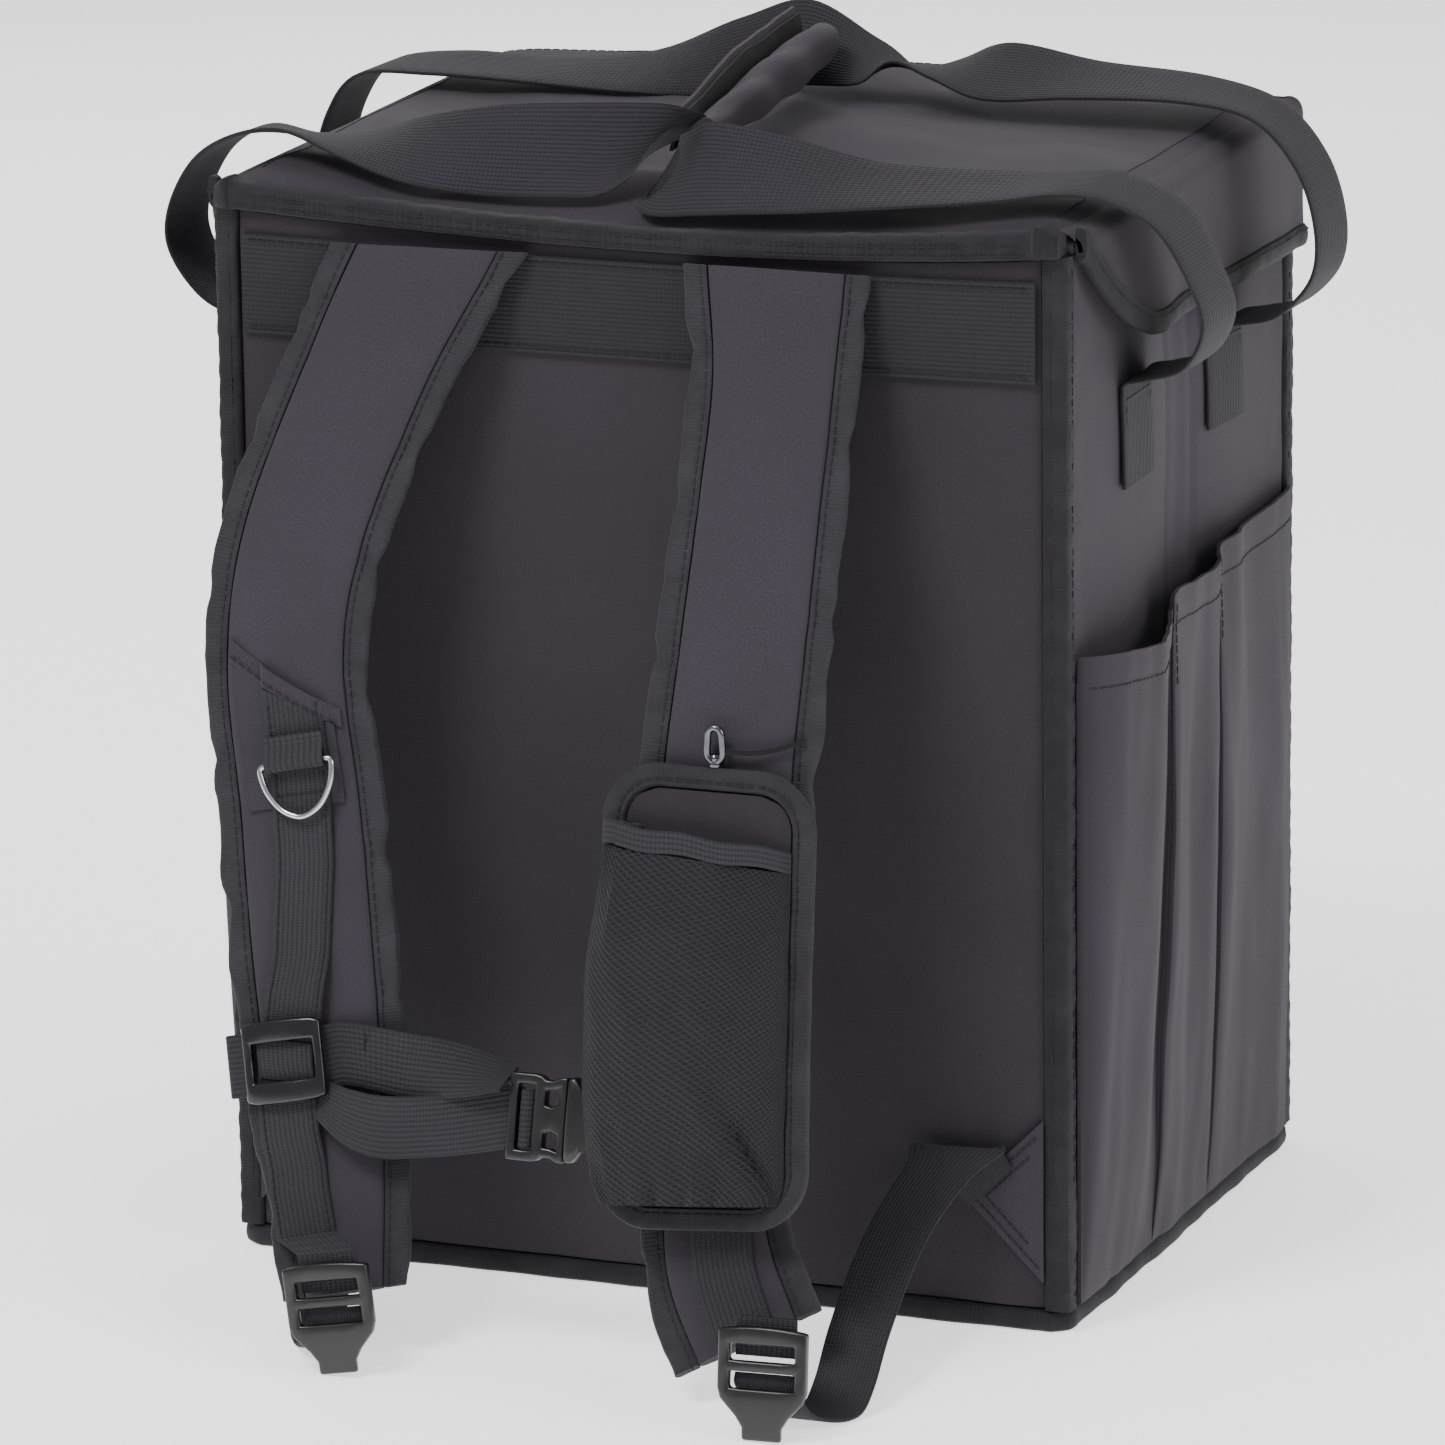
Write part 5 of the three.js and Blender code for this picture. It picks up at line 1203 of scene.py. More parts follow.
def laid_web(name, track, line, start, end, lift, frame_of, nodes, slant=0.0):
    """Webbing sewn along a pad: its top end may be cut slanting, and its foot lies behind the ladder lock."""
    lengths = stations(start, end, 3.5)
    rings = []
    for s in lengths:
        u0 = share(line, s / track.length) * PAD_WIDTH
        ring = []
        cut = slant * (1 - ease(s, start, start + 30))
        for u, h in flat_section(WEB, WEB_THICK):
            ring.append(track.place(s + cut * u, u0 + u, on_pad + 0.2 + lift(s) + WEB_THICK / 2 + h))
        rings.append(ring)
    for up in (6, 3, -1, -5, -9):
        rings.append([frame_of @ V(u, up, -GAP - WEB_THICK / 2 + h) for u, h in flat_section(WEB, WEB_THICK)])
    swept(name, rings, STRAP, (WEB * len(rings[0]) / 6, end - start + 20), nodes)

    def sewn(s, u):
        """A stitch's place on the webbing, u across from its middle line."""
        u0 = share(line, s / track.length) * PAD_WIDTH
        return track.place(s, u0 + u, on_pad + 0.2 + lift(s) + WEB_THICK + 0.1)
    for side in (-1, 1):
        row = [sewn(s, side * (WEB / 2 - 2.2)) for s in lengths if s < start + 44 or track is left]
        stitch("strap_stitches", row, track.out(start + 20), 3.4, 2.4, 0.6)
    for at in (start + 20, start + 36):
        row = [sewn(at, u) for u in (-10, -5, 0, 5, 10)]
        stitch("strap_stitches", row, track.out(at), 3.0, 2.2, 0.6)


def left_lift(s):
    """The left webbing rises over the cover, and over the chest strap at the slider."""
    over = (over_cover - on_pad) * (1 - ease(s, cover_end + 4, cover_end + 22))
    return WEB_LIFT * near(s, slider_at, 44) + over


def right_lift(s):
    """The right webbing rises over the end of the chest strap."""
    return WEB_LIFT * near(s, sternum_right, 44)


laid_web("web_on_left_pad", left, WEB_LINE_LEFT, left.at_height(0.566 * BODY_HEIGHT),
         left.at_height(0.105 * BODY_HEIGHT), left_lift, lock_frames["left"],
         ["strap_webbing_left"], slant=0.5)
laid_web("web_on_right_pad", right, WEB_LINE_RIGHT, right.at_height(0.52 * BODY_HEIGHT), right.length,
         right_lift, lock_frames["right"], ["strap_webbing_right"])


# D ring and its tab
ring_at = left.at_height(0.513 * BODY_HEIGHT)
ring_u = share(WEB_LINE_LEFT, ring_at / left.length) * PAD_WIDTH
ring_inner = D_RING_WIRE / 2 + GAP
ring_h = over_cover + WEB_THICK + GAP * 1.6 + ring_inner + TAB_THICK


def make_d_ring():
    w = D_RING_WIDTH / 2
    outline = [
        [-0.98, 0.02], [-0.5, 0], [0, 0], [0.5, 0], [0.98, 0.02], [1, 0.36], [0.84, 0.8], [0.5, 1.22],
        [0, 1.42], [-0.5, 1.22], [-0.84, 0.8], [-1, 0.36],
    ]
    down = (left.place(ring_at + 4, 0, 0) - left.place(ring_at, 0, 0)).normalized()
    points = [left.place(ring_at, ring_u + u * w, ring_h) + down * (s * w) for u, s in outline]
    normal = left.out(ring_at).normalized()
    wire("steel_d_ring", points, normal, D_RING_WIRE / 2, METAL, 14, 96, ["d_ring_left"])
    fold = [
        [-7, -1], [-4.5, -1], [-2, -1], [0, -1], [0.7, -0.7], [1, 0], [0.7, 0.7], [0, 1], [-1, 0.8],
        [-2, 0.35], [-3.2, -0.25], [-4.4, -0.72], [-7, -0.75],
    ]
    turn = [
        [0, -1], [0, -1], [0, -1], [0, -1], [0.7, -0.7], [1, 0], [0.7, 0.7], [0, 1], [-0.1, 1], [-0.2, 1],
        [-0.25, 1], [-0.2, 1], [0, 1],
    ]
    n = len(fold) - 1

    def place(u, v):
        s, h = fold[round(v * n)]
        return left.place(ring_at + s * ring_inner, ring_u + (u - 0.5) * WEB, ring_h + h * ring_inner)

    def outer(u, v):
        i = round(v * n)
        s, h = fold[i]
        return left.place(ring_at + s * ring_inner + turn[i][0] * TAB_THICK, ring_u + (u - 0.5) * WEB,
                          ring_h + h * ring_inner + turn[i][1] * TAB_THICK)
    rings = []
    us = [i / 6 for i in range(7)]
    for i in range(n + 1):
        rings.append([outer(u, i / n) for u in us] + [place(u, i / n) for u in reversed(us)])
    swept("d_ring_loop", rings, STRAP, (WEB * 2, 26), ["d_ring_tab_left"], angle=60)


make_d_ring()

# Chest strap
slider_h = on_pad + WEB_LIFT + WEB_THICK + GAP * 2.8
under_slider = slider_h - GAP - WEB_THICK / 2
on_web = over_cover + WEB_THICK / 2
BUCKLE_MID = V(-0.082 * half_width, -half_depth - 0.923 * STRAP_FLARE, 0.229 * BODY_HEIGHT)
BUCKLE_UP = V(0, 0.25, 1)


def up_of(track, s):
    return (track.place(s - 4, 0, 0) - track.place(s, 0, 0)).normalized()


def row_at(p, side, w):
    return [p.x, p.y, p.z, side[0], side[1], side[2], w]


def make_slider():
    a = SLIDER_SIZE / 2
    b = a * 0.92
    xs = [a * k for k in (-1, -0.78, -0.4, 0, 0.4, 0.78, 1)]
    ys = [-b, -b * 0.5, 0, b * 0.5, b]

    def shape(co):
        way = 1 if co.y > 0 else -1
        at_rim = abs(co.y) > b * 0.9
        arch = 0.8 * (1 - (co.x / a) ** 2) if at_rim else 0
        ear = 0.8 if at_rim and abs(co.x) > a * 0.9 else 0
        return V(co.x, co.y + arch * way - ear * way)
    bm = framed(xs, ys, [(-a * 0.79, -b * 0.51, a * 0.79, b * 0.51)], SLIDER_THICK, 1.1, shape)
    for vert in bm.verts:
        if vert.co.z > SLIDER_THICK / 2 and abs(vert.co.y) > b * 0.45:
            vert.co.z += 1.3 * (1 - (vert.co.x / a) ** 2)
    bmesh.ops.transform(bm, matrix=stand_on(left, slider_at, slider_u, slider_h), verts=bm.verts)
    finish("chest_slider", bm, GLOSSY, ["sternum_slider_left"], 50)


make_slider()


def make_chest_webs():
    up = up_of(left, slider_at)
    rows = [row_at(left.place(slider_at, slider_u + SLIDER_SIZE * u, h), up, WEB) for u, h in (
        (-0.5, under_slider), (-0.72, under_slider - 0.6), (-0.7, on_web + 0.5), (-0.46, on_web), (0, on_web),
        (0.46, on_web), (0.75, on_web + 0.6))]
    rows += [row_at(strap_point(x, flare, 0.262), (0, sy, sz), WEB * w) for x, flare, sy, sz, w in (
        (-0.34, 0.86, 0.3, 0.95, 1), (-0.24, 0.87, 0.62, 0.75, 0.97), (-0.15, 0.885, 0.86, 0.45, 0.9),
        (-0.09, 0.9, 0.95, 0.2, 0.8))]
    strip("chest_web_back", rows, 8, WEB_THICK, STRAP, ["sternum_webbing_left_back"])
    sewn = [left.place(slider_at, slider_u + 33, on_web + 2.2) + V(0, -0.4, z) for z in (-9, -4, 0, 4, 9)]
    stitch("strap_stitches", sewn, V(0, -1), 3.0, 2.2, 0.6)
    front = [row_at(strap_point(x, flare, z), (0, sy, sz), WEB * w) for x, flare, z, sy, sz, w in (
        (-0.585, 0.835, 0.226, 0.5, 0.86, 0.5), (-0.53, 0.885, 0.219, 0.4, 0.9, 0.72),
        (-0.46, 0.935, 0.212, 0.2, 1, 0.92), (-0.38, 0.955, 0.209, 0.1, 1, 1),
        (-0.28, 0.945, 0.213, 0, 1, 1), (-0.17, 0.93, 0.221, 0.2, 1, 1))]
    front.append(row_at(BUCKLE_MID + V(-GAP), BUCKLE_UP, WEB))
    strip("chest_web_front", front, 8, WEB_THICK, STRAP, ["sternum_webbing_left_front"], wave=1.0)
    loop = [row_at(BUCKLE_MID + V(x, y), BUCKLE_UP, WEB - 2)
            for x, y in ((4.2, 1.6), (5.2, -0.8), (7, -1.6), (8.8, -0.8), (9.9, 1.6))]
    strip("buckle_loop", loop, 6, WEB_THICK, STRAP, ())
    hump_rows = []
    for t in (-1, -0.75, -0.35, 0, 0.35, 0.75, 1):
        p = left.place(slider_at, slider_u, slider_h + 1.2 * (1 - t * t) - 0.4) + up * (t * 7.6)
        hump_rows.append([p.x, p.y, p.z, 1, 0, 0, WEB * 0.96])
    strip("slider_loop", hump_rows, 5, WEB_THICK, STRAP, ())
    start = BUCKLE_MID + V(MALE_LENGTH + FEMALE_LENGTH + GAP + 0.65)
    u0 = (start.x - right.place(sternum_right, 0, 0).x) + 16
    up = up_of(right, sternum_right)
    rows = [row_at(start, BUCKLE_UP, WEB)]
    rows += [row_at(right.place(sternum_right, u0 + WEB * k, on_web), up, WEB) for k in (0, 0.6, 1)]
    strip("chest_web_right", rows, 6, WEB_THICK, STRAP, ["sternum_webbing_right"])


make_chest_webs()


def make_buckle():
    w = BUCKLE_WIDTH / 2
    long = MALE_LENGTH
    thick = BUCKLE_THICK * 0.62
    xs = [0, 3.5, 7, 10.5, 13, 15, 18, 21, long]
    ys = [w * k for k in (-1, -0.76, -0.44, 0, 0.44, 0.76, 1)]

    def male_shape(co):
        narrow = 1 - 0.12 * ease(co.x, 12, 15) + 0.1 * ease(co.x, 18, 22)
        waist = 1 - 0.3 * hump((co.x - 12) / 11) if abs(abs(co.y) - w * 0.44) < 1 else 1
        return V(co.x, co.y * narrow * waist)
    window = (3.5, -w * 0.77, 10.5, w * 0.77)
    slots = [(15, -w * 0.77, 21, -w * 0.43), (15, w * 0.43, 21, w * 0.77)]
    bm = framed(xs, ys, [window] + slots, thick, 0.9, male_shape)
    place = stand(BUCKLE_MID + V(0, BUCKLE_THICK * 0.31), V(1), BUCKLE_UP)
    bmesh.ops.transform(bm, matrix=place, verts=bm.verts)
    finish("buckle_prongs", bm, BLACK, ["buckle_male"], 50)

    f = FEMALE_LENGTH
    xs = [0, 3, 5.5, 8, 11, 14, 17, 21, f - 8, f - 4, f - 1.5, f]
    ys = [-w, -WEB * 0.47, -w * 0.3, w * 0.3, WEB * 0.47, w]
    waist = [
        [0, 0.95], [3, 0.99], [5.5, 0.82], [8, 0.6], [11, 0.56], [14, 0.66], [17, 0.94], [21, 0.98],
        [f - 8, 0.93], [f - 1.5, 0.88], [f, 0.82],
    ]
    fine = smooth(waist, 4)

    def female_shape(co):
        k = share(fine, co.x)
        edge = 1 if abs(co.y) > w * 0.9 else 0
        return V(co.x, co.y * (k if edge else lerp(1, k, 0.35)))
    bm = framed(xs, ys, [(f - 8, -WEB * 0.48, f - 4, WEB * 0.48)], BUCKLE_THICK, 1.4, female_shape)
    for vert in bm.verts:
        if vert.co.z > BUCKLE_THICK / 2:
            vert.co.z -= 2.2 * ease(vert.co.x, f - 12, f) + 0.8 * (vert.co.y / w) ** 2
    place = stand(BUCKLE_MID + V(MALE_LENGTH + GAP, BUCKLE_THICK / 2), V(1), BUCKLE_UP)
    bmesh.ops.transform(bm, matrix=place, verts=bm.verts)
    finish("buckle_shell", bm, BLACK, ["buckle_female"], 50)


make_buckle()

# Webbing from each corner patch to the ladder lock
LOWER_WEB = [
    [0.83, 0.034, 0.135, 0.71, 0, 0.71, 1], [0.79, 0.04, 0.156, 0.8, 0, 0.55, 1.15],
    [0.765, 0.055, 0.17, 1, 0, 0.08, 1.5], [0.757, 0.088, 0.1695, 1, 0, 0, 1.5],
    [0.735, 0.13, 0.156, 1, 0, -0.06, 1.15], [0.708, 0.22, 0.136, 1, 0, -0.1, 1.04],
    [0.69, 0.37, 0.112, 1, 0, -0.1, 1], [0.692, 0.58, 0.086, 1, 0, -0.1, 1],
    [0.71, 0.86, 0.055, 1, 0, -0.05, 1], [0.72, 1.04, 0.024, 1, 0, 0, 1],
    [0.71, 1.13, 0.0055, 1, 0, 0, 1], [0.68, 1.23, 0.0055, 1, 0, 0, 1], [0.645, 1.33, 0.018, 1, 0, 0, 1],
]


def make_lower_webs():
    for where, s in SIDES:
        lock = LOCK_SPOTS[where][0]
        shift, forward = lock.x - s * LOCK_SPOTS["right"][0].x, lock.y - LOCK_SPOTS["right"][0].y
        rows = []
        for x, flare, z, sx, sy, sz, w in LOWER_WEB:
            part = ease(flare, 0.2, 1.3)
            p = strap_point(s * x, flare, z) + V(shift * part, forward * part)
            rows.append([p.x, p.y, p.z, sx, sy, s * sz, w * WEB])
        for down in (0.5, 0.38):
            p = lock_frames[where] @ V(0, -LOCK_LENGTH * down, -GAP - WEB_THICK / 2)
            rows.append(row_at(p, lock_frames[where].to_3x3() @ V(1), WEB))
        strip("lower_web_" + where, rows, 8, WEB_THICK, STRAP, ["lower_webbing_" + where],
              wave=0.6)


make_lower_webs()


# Pouch
def rounded_half(s, inset):
    r = POUCH_CORNER - inset
    d = min(s, pouch_track.length - s) - inset
    cut = 0 if d >= r else r - sqrt(max(0, r * r - (r - d) ** 2))
    return POUCH_WIDTH / 2 - inset - cut


def make_pouch():
    half = POUCH_WIDTH / 2
    long = pouch_track.length
    inset = POUCH_TAPE + GAP * 2

    def back(u, v):
        s = lerp(inset + 0.05, long - inset - 0.05, v)
        dent = 0.4 * ripple(u * 3, s * 0.05, 0, 51)
        return pouch_track.place(s, (u * 2 - 1) * rounded_half(s, inset), 1.0 + dent)
    bm = net_of(24, 60, back, (POUCH_WIDTH, long))
    harden(bm, 2.2, V(0, -1))
    finish("pouch_backing", bm, SHADED_TWILL, ["pouch_back"])

    c = POUCH_CORNER
    spots = [(half - c, c, -90), (half - c, long - c, 0), (-half + c, long - c, 90), (-half + c, c, 180)]
    outline = []
    for k, (u, s, turn) in enumerate(spots):
        for j in range(13):
            outline.append((u, s, radians(turn + 7.5 * j)))
        nu, ns, _ = spots[(k + 1) % 4]
        n = 34 if abs(ns - s) > 1 else 12
        for i in range(1, n):
            outline.append((lerp(u, nu, i / n), lerp(s, ns, i / n), radians(turn + 90)))
    half_tape = POUCH_TAPE_THICK / 2
    section = [
        [1, -0.4], [0.97, -0.8], [0.85, -1], [0.5, -0.92], [0.06, -0.8], [0, -0.3], [0, 0.3], [0.06, 0.8],
        [0.45, 0.84], [0.8, 1], [0.95, 0.82], [1, 0.4],
    ]
    rings = []
    seam = []
    for i, (u, s, a) in enumerate(outline):
        pull = 0.5 * ripple(i * 0.14, 0, 0, 53)
        ring = []
        for into, h in section:
            r = c - (1 - into) * POUCH_TAPE - ((0.5 - pull) if into > 0.6 else 0)
            deep = h * half_tape * (1 + 0.08 * sin(i * 0.9))
            ring.append(pouch_track.place(s + sin(a) * r, u + cos(a) * r, deep))
        rings.append(ring)
        r = c - 0.72 * POUCH_TAPE
        seam.append(pouch_track.place(s + sin(a) * r, u + cos(a) * r, half_tape * 0.98))
    swept("pouch_frame", rings, POUCH_EDGE, (POUCH_TAPE * 3, 480), ["pouch_binding"], closed=True)
    out = pouch_track.out(90)
    stitch("pouch_stitches", seam + seam[:1], out)

    arc = smooth([
        [-0.8, 0], [-1, 0.22], [-1.02, 0.5], [-0.8, 0.86], [-0.35, 1], [0.15, 0.95], [0.5, 0.68],
        [0.73, 0.3], [0.81, 0],
    ], 5)
    base = POUCH_TAPE_THICK / 2 - 0.1
    mouth, foot = NET_MOUTH, long - POUCH_TAPE - 1
    m = len(arc) - 1

    def swell(s):
        return 0.4 + 0.6 * ease(s, mouth - 6, mouth + 62) * (1 - 0.62 * ease(s, foot - 46, foot))

    def net(u, v):
        s = lerp(mouth + 7, foot, 1 - v)
        a, h = arc[round(u * m)]
        k = swell(s)
        w = a * rounded_half(min(s, foot), 0) * (lerp(0.84, 1, k) if abs(a) > 0.8 else 1)
        sag = (2.6 * ripple(a * 2.0 + s * 0.014, s * 0.028, 0, 57)
               + 1.5 * ripple(a * 4.5 - s * 0.02, s * 0.05, 1, 57))
        slant, low_down = (s - foot + 46) * 0.012, ease(s, foot - 56, foot - 16)
        fold = 4.2 * (1 - ease(abs(a - 0.2 - slant), 0, 0.1)) * low_down
        fold -= 1.8 * (1 - ease(abs(a - 0.02 - slant), 0, 0.14)) * low_down
        gather = 1.3 * sin(a * 22) * ease(s, foot - 26, foot) * (1 - abs(a) * 0.6)
        lift = max(0.05, h) * POUCH_BULGE * k + (sag - fold + gather) * clamp(h * 1.6)
        return pouch_track.place(s + 4.3 * a * v * v, w, base + max(0.1, lift))
    bm = net_of(m, 96, net, (POUCH_WIDTH * 1.25, long))
    top, low = pouch_track.place(0, 0, 0), pouch_track.place(long, 0, 0)

    def inward(co):
        mid = lerp(low.x, top.x, (co.z - low.z) / (top.z - low.z))
        return out * -0.7 + V(-0.8 * clamp((co.x - mid) / half, -1))
    back_off(bm, inward)
    net_piece = finish("pouch_net", bm, NET, ["pouch_mesh"])

    def band(u, v):
        s = lerp(mouth + 6.6, mouth - 2, v)
        a, h = arc[round(u * m)]
        k = swell(mouth + 7)
        w = a * half * (lerp(0.84, 1, k) if abs(a) > 0.8 else 1)
        return pouch_track.place(s + 4.3 * a + 0.6 * sin(a * 9), w, base + max(0, h) * POUCH_BULGE * k + 0.2)
    bm = net_of(m, 8, band, (POUCH_WIDTH * 1.2, 9))
    turn_weave(bm)
    harden(bm, 1.5, V(0, -1))
    elastic = finish("pouch_mouth_band", bm, STRAP, ["pouch_elastic"])
    cut_size(net, m, 96)


make_pouch()


def make_hook():
    outline = [
        [0, 0.5], [0.16, 0.4], [0.2, 0.1], [0.2, -0.25], [0, -0.42], [-0.2, -0.25], [-0.2, 0.1],
        [-0.16, 0.4],
    ]
    points = [hook_spot + V(x * HOOK_LENGTH, 0, z * HOOK_LENGTH) for x, z in outline]
    wire("snap_hook", points, V(0, 1), HOOK_WIRE / 2 + 0.3, GUNMETAL, 12, 64, ["pouch_hook"])
    bm = bmesh.new()
    profile = [(0, 2.4), (1.7, 2.4), (2.3, 1.7), (1.6, 0.9), (1.6, -0.6), (2.6, -1.3), (2.6, -2.2), (0, -2.4)]
    line = [bm.verts.new(V(r, 0, z)) for r, z in profile]
    edges = [bm.edges.new(pair) for pair in zip(line, line[1:])]
    bmesh.ops.spin(bm, geom=line + edges, cent=(0, 0, 0), axis=(0, 0, 1), dvec=(0, 0, 0), angle=2 * pi,
                   steps=24, use_merge=True)
    bmesh.ops.remove_doubles(bm, verts=bm.verts, dist=0.001)
    bmesh.ops.recalc_face_normals(bm, faces=bm.faces)
    bmesh.ops.translate(bm, verts=bm.verts, vec=hook_spot + V(0, 0.4, -HOOK_LENGTH * 0.36))
    finish("hook_swivel", bm, GUNMETAL, (), 30)


make_hook()

# Carrying handles. Columns: share of half width, outward swing share, share of half depth,
# lift share over the body's top, side x, side y, side z.
NEAR_RIGHT = [
    [1, 0.27, -0.43, -2.5, 0, 1, 0], [1, 0.6, -0.43, -2.27, 0, 1, 0], [1, 0.8, -0.46, -1.55, 0, 1, 0],
    [1, 0.74, -0.54, -0.68, 0, 1, 0], [1, 0.52, -0.61, 0.25, 0, 1, 0.05],
    [1, 0.15, -0.7, 0.76, -0.1, 1, 0.1], [0.95, 0, -0.755, 0.86, 0, 0.99, 0.08],
    [0.79, 0, -0.79, 0.76, 0, 0.98, 0.14], [0.5, 0, -0.85, 0.72, 0, 0.94, 0.3],
    [0.28, 0, -0.87, 0.84, 0, 0.76, 0.64], [0.14, 0, -0.89, 0.9, 0, 0.55, 0.83, 1, 1.5],
    [0.085, 0, -0.91, 0.84, 0.2, 0.5, 0.84, 0.96, 2.5], [0.05, 0, -0.905, 0.8, 0.32, 0.45, 0.8, 0.9, 3],
    [0.03, 0, -0.88, 0.82, 0.4, 0.45, 0.78, 0.84, 3], [0.06, 0, -0.85, 0.9, 0.3, 0.5, 0.8, 0.8, 3],
    [0.12, 0, -0.81, 1.02, 0.1, 0.6, 0.78, 0.7, 2], [0.12, 0, -0.76, 1.12, -0.3, 0.7, 0.65, 0.6, 2],
]
NEAR_LEFT = [
    [0.06, 0, -0.68, 1.32, 0.55, 0.75, 0.35, 0.4, 3], [0.025, 0, -0.76, 1.32, 0.45, 0.7, 0.55, 0.66, 6],
    [-0.02, 0, -0.82, 1.2, 0.25, 0.6, 0.75, 0.9, 7], [-0.1, 0, -0.85, 1.08, 0.08, 0.52, 0.85, 1, 5],
    [-0.19, 0, -0.86, 1.04, 0, 0.5, 0.86, 1, 3], [-0.34, 0, -0.86, 0.98, 0, 0.56, 0.84, 1, 1],
    [-0.54, 0, -0.82, 0.88, 0, 0.8, 0.6], [-0.74, 0, -0.75, 0.84, 0, 0.98, 0.1],
    [-0.9, 0, -0.68, 0.88, 0, 0.97, -0.2], [-1, -0.2, -0.6, 0.78, 0, 1, -0.05],
    [-1, -0.66, -0.55, 0.3, 0, 1, 0], [-1, -0.95, -0.52, -0.58, 0, 1, 0],
    [-1, -0.99, -0.49, -1.35, 0, 1, 0], [-1, -0.72, -0.46, -2.15, 0, 1, 0],
    [-1, -0.3, -0.44, -2.5, 0, 1, 0],
]
FAR_RIGHT = [
    [1, 0.27, 0.4, -2.5, 0, 1, 0], [1, 0.62, 0.39, -2.3, 0, 1, 0], [1, 0.93, 0.38, -1.65, 0, 1, 0],
    [1, 0.97, 0.375, -0.8, 0, 1, 0], [1, 0.8, 0.37, 0.2, 0, 1, 0], [1, 0.4, 0.37, 1, 0, 1, 0.02],
    [0.93, 0, 0.37, 1.3, 0, 0.99, 0.1], [0.67, 0, 0.37, 1.36, 0, 0.97, 0.22],
    [0.46, 0, 0.38, 1.42, 0, 0.9, 0.44], [0.33, 0, 0.4, 1.4, 0, 1, 0.04],
    [0.22, 0, 0.43, 1.36, 0, 0.97, -0.26], [0.12, 0, 0.44, 1.4, 0, 0.9, 0.4, 0.85],
]
FAR_LEFT = [
    [-0.06, 0, 0.5, 1.62, 0, 0.6, 0.8], [-0.22, 0, 0.46, 1.36, 0, 0.72, 0.7],
    [-0.43, 0, 0.41, 1.06, 0, 0.95, 0.28], [-0.7, 0, 0.41, 1.0, 0, 0.99, 0.1],
    [-0.92, 0, 0.42, 1.02, 0, 0.99, 0.08], [-1, -0.4, 0.43, 0.86, 0, 1, 0],
    [-1, -0.72, 0.43, 0.15, 0, 1, 0], [-1, -0.84, 0.42, -0.9, 0, 1, 0], [-1, -0.74, 0.41, -1.9, 0, 1, 0],
    [-1, -0.3, 0.4, -2.5, 0, 1, 0],
]


def side_face(y, z):
    """How far the side wall's solid stands out, which has flat faces between its rows."""
    return on_rows(lambda a, b: side_out(a, b, SIDE_FOLD), y, z)


def patch_rows(sign, at):
    y = at * half_depth
    top = BODY_HEIGHT - HANDLE_LIFT * 2.6
    rows = []
    for t in (0, 0.12, 0.55, 1):
        z = top - PATCH_TALL * t
        a, b = side_face(y - WIDE_WEB / 2, z), side_face(y + WIDE_WEB / 2, z)
        over = max(side_face(y + (k - 0.5) * WIDE_WEB, z) - lerp(a, b, k) for k in (0, 0.25, 0.5, 0.75, 1))
        x = half_width + (a + b) / 2 + over + WEB_THICK / 2 + GAP * 2 + (1.6 if t == 0 else 0)
        rows.append([sign * x, y, z, sign * (b - a) / WIDE_WEB, 1, 0, WIDE_WEB])
    return rows


def handle_rows(table):
    rows = []
    for x, swing, y, lift, sx, sy, sz, *more in table:
        spread = more[0] if more else 1
        curl = more[1] if len(more) > 1 else 0
        rows.append([x * half_width + swing * HANDLE_SWING, y * half_depth, BODY_HEIGHT + lift * HANDLE_LIFT,
                     sx, sy, sz, WIDE_WEB * spread, curl])
    return rows


def sew_patch(patch, sign):
    y, tilt = patch[0][1], patch[1][3]
    x = abs(patch[1][0]) + WEB_THICK / 2 + 0.2
    top, foot = patch[1][2] - 2, patch[-1][2] + 3
    box = [(y - 16, top), (y + 16, top), (y + 16, foot), (y - 16, foot), (y - 16, top)]
    stitch("handle_stitches", [V(sign * x + tilt * (a - y), a, b) for a, b in box], V(sign))


def make_handles():
    near_right, near_left = patch_rows(1, NEAR_RIGHT[0][2]), patch_rows(-1, NEAR_LEFT[-1][2])
    far_right, far_left = patch_rows(1, FAR_RIGHT[0][2]), patch_rows(-1, FAR_LEFT[-1][2])
    far = far_right[::-1] + handle_rows(FAR_RIGHT) + handle_rows(FAR_LEFT) + far_left
    ribbons = (("near_handle_right", near_right[::-1] + handle_rows(NEAR_RIGHT), 10, ["handle_near"]),
               ("near_handle_left", handle_rows(NEAR_LEFT) + near_left, 10, ()),
               ("far_handle", far, 8, ["handle_far"]))
    for name, rows, steps, nodes in ribbons:
        strip(name, rows, steps, WEB_THICK, HANDLE, nodes, wave=1.2)
    for patch, sign in ((near_right, 1), (near_left, -1), (far_right, 1), (far_left, -1)):
        sew_patch(patch, sign)


make_handles()


